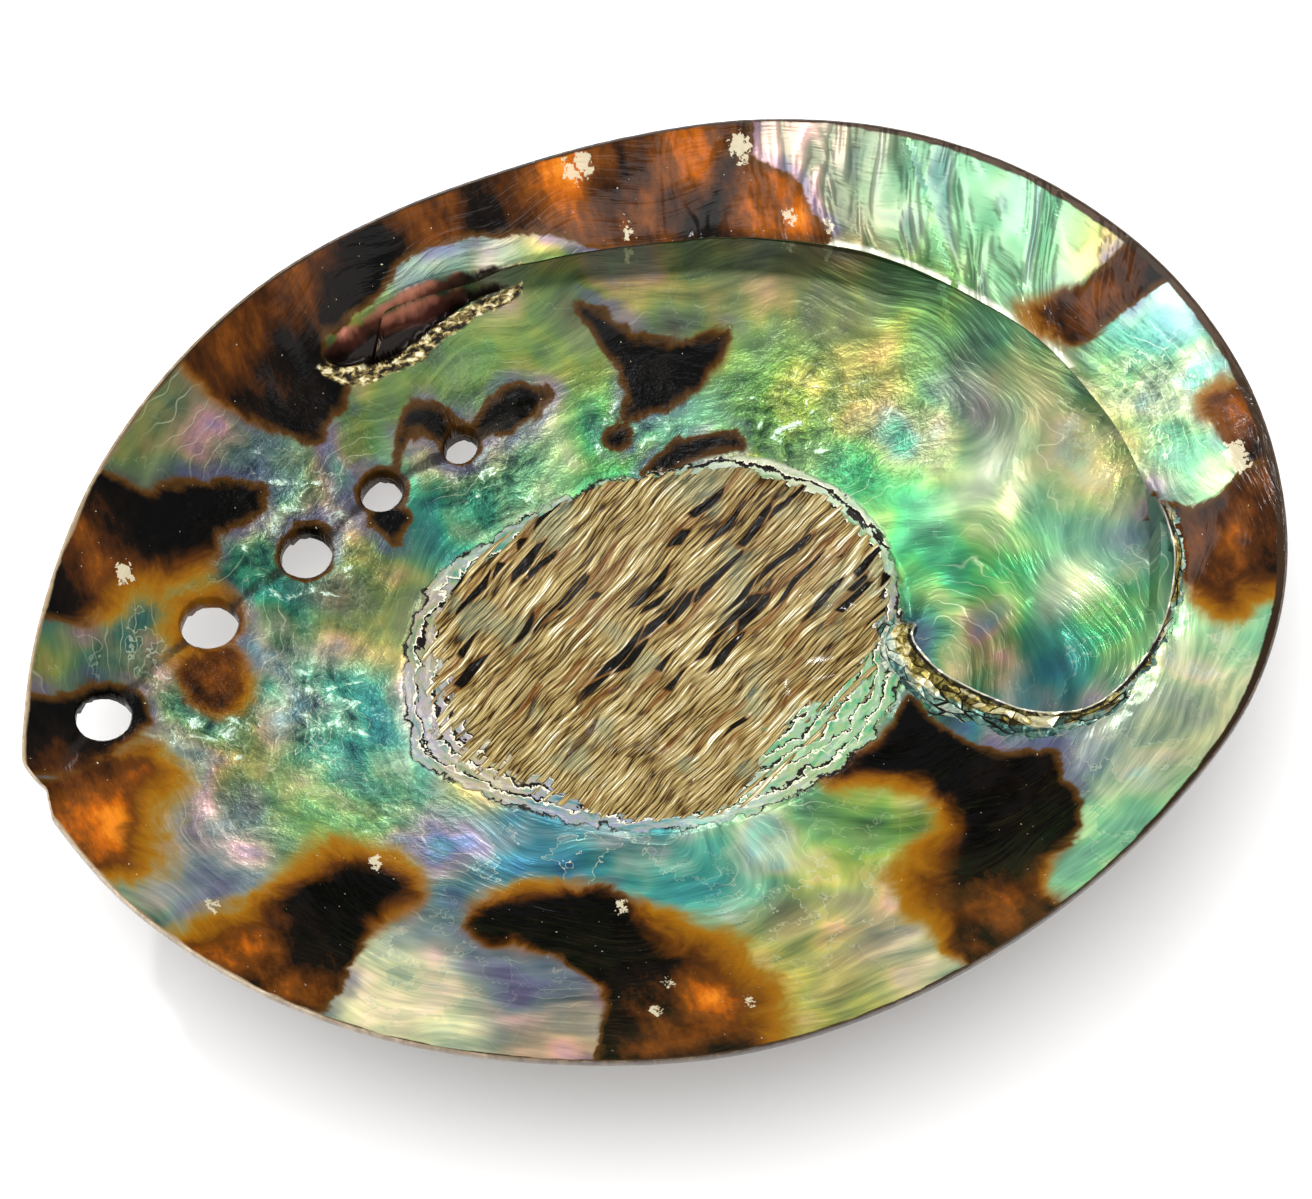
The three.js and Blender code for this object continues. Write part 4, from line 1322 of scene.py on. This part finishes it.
# The ledge's finish: folded layers of pearl seen edge on, an olive-gold band inside and then teal frills,
# with a painted highlight along its free edge and a painted shadow line just beside it.
GOLD_BAND = [
    (0.28, (0.03, 0.022, 0.008)),
    (0.40, (0.18, 0.14, 0.030)),
    (0.50, (0.40, 0.32, 0.09)),
    (0.64, (0.80, 0.72, 0.46)),
]
FRILLS = [
    (0.28, (0.03, 0.07, 0.07)),
    (0.42, (0.14, 0.30, 0.24)),
    (0.54, (0.34, 0.40, 0.34)),
    (0.66, (0.62, 0.68, 0.52)),
]


FOLD_LINE = (0.010, 0.007, 0.005)
FOLD_SHADE = (0.012, 0.010, 0.008)
PAINTED_EDGE_HIGHLIGHT = (0.85, 0.84, 0.74)
FOLD_RELIEF = 0.0013


def folded_ledge(tree, place, colour, wander):
    """Lays the ledge's folds, with a painted shadow line and a painted highlight along its edge, over the
    pearl.
    """
    ledge = tree.value("ledge")
    run = tree.value("ledge_along")
    along_ledge = tree.band(run, 0.02, 0.1, 0.97, 0.999)
    wide = tree.plus_times(1.3, tree.ramp_between(run, 0.25, 0.80), 3.6)
    rough = tree.less_half(tree.noise(place, 0.28, 4.0, 0.6, 0.5))
    share = tree.maths("DIVIDE", tree.plus_times(ledge, rough, 4.2), wide)
    fold_place = tree.scaled(tree.vector("fold"), (0.95, 0.30, 1))
    fold_edge = tree.cracks(fold_place)
    value = tree.times(tree.less_half(tree.plate_values(fold_place)), 0.4)
    fleck = tree.plus_times(value, tree.noise(place, 0.9, 4.0, 0.65, 0.8), 0.9)
    outer_part = tree.ramp_between(share, 0.50, 0.66)
    band = tree.blend(outer_part, tree.colours(fleck, GOLD_BAND), tree.colours(fleck, FRILLS))
    line = tree.ramp_between(tree.plus_times(fold_edge, wander, 0.4), 0.07, 0.02)
    band = tree.blend(line, band, FOLD_LINE)
    here = tree.times(tree.ramp_between(ledge, -0.25, 0.0), tree.ramp_between(share, 1.06, 1.0), along_ledge)
    colour = tree.blend(here, colour, band)
    # Painted shadow line on the ledge, just beside its free edge.
    shade = tree.times(tree.band(ledge, 0.15, 0.35, 0.6, 0.95), tree.ramp_between(wander, -0.10, 0.05))
    colour = tree.blend(tree.times(shade, along_ledge), colour, FOLD_SHADE)
    # Painted highlight along the ledge's free edge.
    edge_highlight = tree.times(tree.band(ledge, -0.30, -0.1, 0.12, 0.28), along_ledge, 0.75)
    return tree.blend(edge_highlight, colour, PAINTED_EDGE_HIGHLIGHT), [(tree.times(fold_edge, here), FOLD_RELIEF)]


# The shelf's free edge has a painted highlight along it, and the wall below it has painted shade. At the
# shelf's end the pocket has a rosy far wall with painted shade below it, and a crinkled gold strip along its
# near side.
# The pocket's colours by side: the darkest stops are painted shade in the pocket, the rosy ones its own tint.
POCKET = [
    (0.50, (0.008, 0.005, 0.004)),
    (0.58, (0.08, 0.025, 0.018)),
    (0.64, (0.50, 0.19, 0.13)),
    (0.84, (0.66, 0.36, 0.30)),
]
STRIP = [
    (0.40, (0.006, 0.005, 0.004)),
    (0.50, (0.14, 0.10, 0.03)),
    (0.58, (0.42, 0.34, 0.15)),
    (0.70, (0.75, 0.70, 0.52)),
]


# Painted highlight on the lip, painted shade below it, and painted shade in the pocket.
PAINTED_LIP_HIGHLIGHT = (0.80, 0.80, 0.66)
PAINTED_SHADE_TONE = (0.25, 0.30, 0.22)
POCKET_SHADE = (0.010, 0.007, 0.005)


def lip_and_pocket(tree, place, colour, wander, stain_here):
    """Lays the painted highlight along the lip, the painted shade below it and the pocket over the pearl."""
    bare = tree.maths("SUBTRACT", 1.0, stain_here)
    # Painted highlight along the shelf's free edge, where it is unstained.
    bright = tree.times(tree.ramp_between(tree.value("lip"), 0.35, 0.75), bare, 0.7)
    colour = tree.blend(bright, colour, PAINTED_LIP_HIGHLIGHT)
    # Painted shade on the wall under the lip.
    below = tree.ramp_between(tree.value("painted_shade_below_lip"), 0.1, 0.9)
    colour = tree.blend(below, colour, tree.blend(1.0, colour, PAINTED_SHADE_TONE, "MULTIPLY"))
    x, y = tree.plan_of(place)
    pocket_in = tree.plus_times(tree.value("pocket"), wander, 1.6)
    side = tree.plus_times(tree.plus_times(y, x, -0.13), wander, 2.0)
    # Painted shade fills the pocket below its rosy far wall.
    pocket_colour = tree.colours(tree.plus_times(-4.95, side, 0.1), POCKET)
    rosy = tree.ramp_between(tree.plus_times(x, wander, 6.0), -8.0, -11.5)
    pocket_colour = tree.blend(rosy, POCKET_SHADE, pocket_colour)
    strip = tree.times(tree.ramp_between(pocket_in, -1.7, -1.3), tree.ramp_between(side, 53.6, 53.0))
    crumpled = tree.noise(tree.scaled(place, (0.7, 1.5, 1)), 1.0, 4.0, 0.6, 0.3)
    colour = tree.blend(strip, colour, tree.colours(crumpled, STRIP))
    return tree.blend(tree.ramp_between(pocket_in, 0.0, 0.5), colour, pocket_colour)


HORN_LINE_DARK = (0.030, 0.017, 0.009)
HORN_LINE_TAN = (0.27, 0.20, 0.12)
CREASE_SHADE = (0.015, 0.012, 0.010)


def rim_and_crease(tree, place, colour, wander):
    """The horny outer layer as a thin line along the rim, and painted shade in the fine crease by the holes.
    """
    x, _ = tree.plan_of(place)
    rim_line = tree.plus_times(tree.value("rim_away"), wander, 0.8)
    rim_line = tree.plus_times(rim_line, tree.ramp_between(x, 30.0, 76.0), -0.8)
    rim_tint = tree.blend(tree.ramp_between(x, -45.0, -70.0), HORN_LINE_DARK, HORN_LINE_TAN)
    colour = tree.blend(tree.ramp_between(rim_line, 0.70, 0.40), colour, rim_tint)
    # Painted shade in the crease, darkest near the holes.
    crease = tree.ramp_between(tree.plus_times(tree.value("crease"), wander, 1.2), 0.9, 0.2)
    crease = tree.times(crease, tree.ramp_between(tree.value("hole"), 7.0, 1.5), 0.8)
    return tree.blend(crease, colour, CREASE_SHADE)


def lining(name, on_shelf=False, by_the_scar=False):
    """The finish of one kind of place on the lining."""
    tree = Tree(name)
    place = tree.place()
    wander = tree.less_half(tree.noise(place, 0.16, 4.0, 0.62, 0.4))
    colour, heights = silky_pearl(tree, place, on_shelf)
    colour, stain_here = stained(tree, place, colour, wander)
    bare = tree.maths("SUBTRACT", 1.0, stain_here)
    if by_the_scar:
        colour, scar_heights, bordered = bordered_scar(tree, place, colour, wander)
        colour, ledge_heights = folded_ledge(tree, place, colour, wander)
        heights = heights + scar_heights + ledge_heights
        bare = tree.times(bare, tree.maths("SUBTRACT", 1.0, bordered))
    if on_shelf:
        colour = lip_and_pocket(tree, place, colour, wander, stain_here)
    colour = rim_and_crease(tree, place, colour, wander)
    tree.put(colour, tree.surface.inputs["Base Color"])
    tree.put(tree.plus_times(0.14, bare, 0.13), tree.surface.inputs["Roughness"])
    tree.put(tree.times(bare, 0.42), tree.surface.inputs["Metallic"])
    tree.put(tree.plus_times(0.02, bare, 0.08), tree.surface.inputs["Coat Weight"])
    tree.surface.inputs["Specular IOR Level"].default_value = 0.08
    tree.surface.inputs["Coat Roughness"].default_value = 0.08
    tree.relief(heights)
    return tree


pearl = lining("mother_of_pearl")
shelf_pearl = lining("rippled_pearl", on_shelf=True)
border_pearl = lining("terraced_pearl", by_the_scar=True)
scar_finish = Tree("muscle_scar")
strand_colour, strand_relief, _ = scar_strands(scar_finish)
scar_finish.put(strand_colour, scar_finish.surface.inputs["Base Color"])
scar_finish.surface.inputs["Roughness"].default_value = 0.16
scar_finish.surface.inputs["Specular IOR Level"].default_value = 0.2
scar_finish.surface.inputs["Coat Weight"].default_value = 0.06
scar_finish.surface.inputs["Coat Roughness"].default_value = 0.08
scar_finish.relief([(strand_relief, STRAND_RELIEF)])

# The back's finish: a dull horny crust that grew in bands round the spire, brick-brown to olive,
# worn through to pale pearl in places.
WORN_PEARL = [
    (0.4, (0.30, 0.45, 0.38)),
    (0.6, (0.72, 0.68, 0.60)),
]
BAND_RELIEF = 0.0009
GRIT_RELIEF = 0.0004
PATCH_RELIEF = 0.0006
crust = Tree("weathered_crust")
place = crust.place()
bands = crust.noise(crust.scaled(crust.vector("flow"), (0.03, 0.03, 0.45)), 1.0, 5.0, 0.65, 0.2, flat=False)
patches = crust.noise(place, 0.06, 5.0, 0.6, 1.0)
grit = crust.noise(place, 0.9, 6.0, 0.7, 0.5)
crust_colour = crust.colours(crust.plus_times(crust.times(bands, 0.5), patches, 0.5), [
    (0.36, (0.055, 0.035, 0.022)),
    (0.46, (0.13, 0.075, 0.045)),
    (0.54, (0.20, 0.14, 0.085)),
    (0.62, (0.24, 0.23, 0.15)),
    (0.72, (0.42, 0.38, 0.30)),
])
worn = crust.ramp_between(crust.noise(place, 0.09, 5.0, 0.6), 0.64, 0.70)
crust_colour = crust.blend(worn, crust_colour, crust.colours(grit, WORN_PEARL))
crust.put(crust_colour, crust.surface.inputs["Base Color"])
crust.put(crust.plus_times(0.72, worn, -0.3), crust.surface.inputs["Roughness"])
crust.relief([(bands, BAND_RELIEF), (grit, GRIT_RELIEF), (patches, PATCH_RELIEF)])

# The rim's finish: the horny outer layer cut through and ground smooth, glossy dark brown at the spire end
# and paler tan at the newest end.
MOTTLE_RELIEF = 0.00015
edge = Tree("ground_rim")
place = edge.place()
paleness = edge.ramp_between(edge.plan_of(place)[0], 0.0, -80.0)
mottle = edge.noise(place, 0.5, 5.0, 0.6, 0.8)
rim_colour = edge.colours(edge.plus_times(edge.times(mottle, 0.6), paleness, 0.45), [
    (0.15, (0.012, 0.008, 0.006)),
    (0.35, (0.05, 0.03, 0.018)),
    (0.6, (0.20, 0.14, 0.08)),
    (0.85, (0.42, 0.33, 0.22)),
])
edge.put(rim_colour, edge.surface.inputs["Base Color"])
edge.surface.inputs["Roughness"].default_value = 0.3
edge.relief([(mottle, MOTTLE_RELIEF)])

finishes = [pearl, shelf_pearl, border_pearl, scar_finish, crust, edge]
for tree in finishes:
    shell_mesh.materials.append(tree.material)



def most_on_face(name):
    return attributes[name][faces].max(axis=1)


def least_on_face(name):
    return attributes[name][faces].min(axis=1)


# Each face takes the finish of its place, and where no other fits, plain pearl.
wholly_scar = least_on_face("terraces") > 2.0
by_scar = most_on_face("scar") > -4.5
by_ledge = (most_on_face("ledge") > -1.5) & (least_on_face("ledge") < 8)
by_ledge = by_ledge & (most_on_face("ledge_along") > 0) & (least_on_face("ledge_along") < 1)
by_shelf = (most_on_face("shelf") > 0) | (most_on_face("painted_shade_below_lip") > 0.02) | (most_on_face("pocket") > -4)
finish = np.select(
    [part_of_face == BACK, part_of_face == RIM, wholly_scar, by_scar | by_ledge, by_shelf],
    [finishes.index(tree) for tree in (crust, edge, scar_finish, border_pearl, shelf_pearl)],
    finishes.index(pearl),
)
shell_mesh.polygons.foreach_set("material_index", finish.astype(np.int32))

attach(shell, "root")
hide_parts("abalone_shell")

# The floor: a sheet of plain white matt paper, far wider than the picture.
FLOOR_HALF = 3
floor_corners = [(sx * FLOOR_HALF, sy * FLOOR_HALF, 0) for sx, sy in ((-1, -1), (1, -1), (1, 1), (-1, 1))]
floor_mesh = bpy.data.meshes.new("floor")
floor_mesh.from_pydata(floor_corners, [], [(0, 1, 2, 3)])
floor = bpy.data.objects.new("floor", floor_mesh)
bpy.context.scene.collection.objects.link(floor)
paper = Tree("white_paper")
paper.surface.inputs["Base Color"].default_value = (0.80, 0.80, 0.80, 1)
paper.surface.inputs["Roughness"].default_value = 0.9
floor_mesh.materials.append(paper.material)

# Studio light: a white tent, brightest overhead, with a big soft box above, a broad weak one in front
# and two small lamps for the glints.
world = bpy.data.worlds.new("white_tent")
bpy.context.scene.world = world
world.use_nodes = True
tent = world.node_tree
tent_place = tent.nodes.new("ShaderNodeTexCoord")
tent_split = tent.nodes.new("ShaderNodeSeparateXYZ")
tent_shade = tent.nodes.new("ShaderNodeMapRange")
tent_shade.inputs["From Min"].default_value = 0.1
tent_shade.inputs["From Max"].default_value = 0.9
tent_shade.inputs["To Min"].default_value = 0.40
tent_shade.inputs["To Max"].default_value = 0.75
tent.links.new(tent_place.outputs["Generated"], tent_split.inputs["Vector"])
tent.links.new(tent_split.outputs["Z"], tent_shade.inputs["Value"])
tent.links.new(tent_shade.outputs["Result"], tent.nodes["Background"].inputs["Strength"])
tent.nodes["Background"].inputs["Color"].default_value = (1, 1, 1, 1)


LAMPS_AIM = Vector((0, 0, 0.02))


def soft_box(name, place_m, size_m, watts):
    lamp = bpy.data.lights.new(name, "AREA")
    lamp.shape = "RECTANGLE"
    lamp.size = size_m[0]
    lamp.size_y = size_m[1]
    lamp.energy = watts
    holder = bpy.data.objects.new(name, lamp)
    holder.location = place_m
    holder.rotation_euler = (LAMPS_AIM - Vector(place_m)).to_track_quat("-Z", "Y").to_euler()
    bpy.context.scene.collection.objects.link(holder)


soft_box("key", (-0.14, -0.06, 0.95), (0.7, 0.7), 9)
soft_box("strip", (0.30, 0.60, 0.60), (0.5, 0.06), 2)
soft_box("spark", (-0.25, 0.50, 0.90), (0.05, 0.05), 2.5)
soft_box("fill", (0.1, -0.8, 0.5), (0.8, 0.4), 2)

# The camera: above the outer lip, looking across to the shelf.
CAMERA_TURN = math.radians(-19)
CAMERA_RISE = math.radians(65)
CAMERA_AWAY = 0.478
CAMERA_TARGET = Vector((-0.0003, -0.0008, 0.034))
camera_data = bpy.data.cameras.new("camera")
camera_data.sensor_width = 36
camera_data.lens = 100
camera = bpy.data.objects.new("camera", camera_data)
level = math.cos(CAMERA_RISE)
camera_back = Vector((
    math.sin(CAMERA_TURN) * level,
    -math.cos(CAMERA_TURN) * level,
    math.sin(CAMERA_RISE),
))
camera.location = CAMERA_TARGET + camera_back * CAMERA_AWAY
camera.rotation_euler = (-camera_back).to_track_quat("-Z", "Y").to_euler()
bpy.context.scene.collection.objects.link(camera)
bpy.context.scene.camera = camera

bpy.context.scene.view_settings.view_transform = "Standard"
bpy.context.view_layer.update()
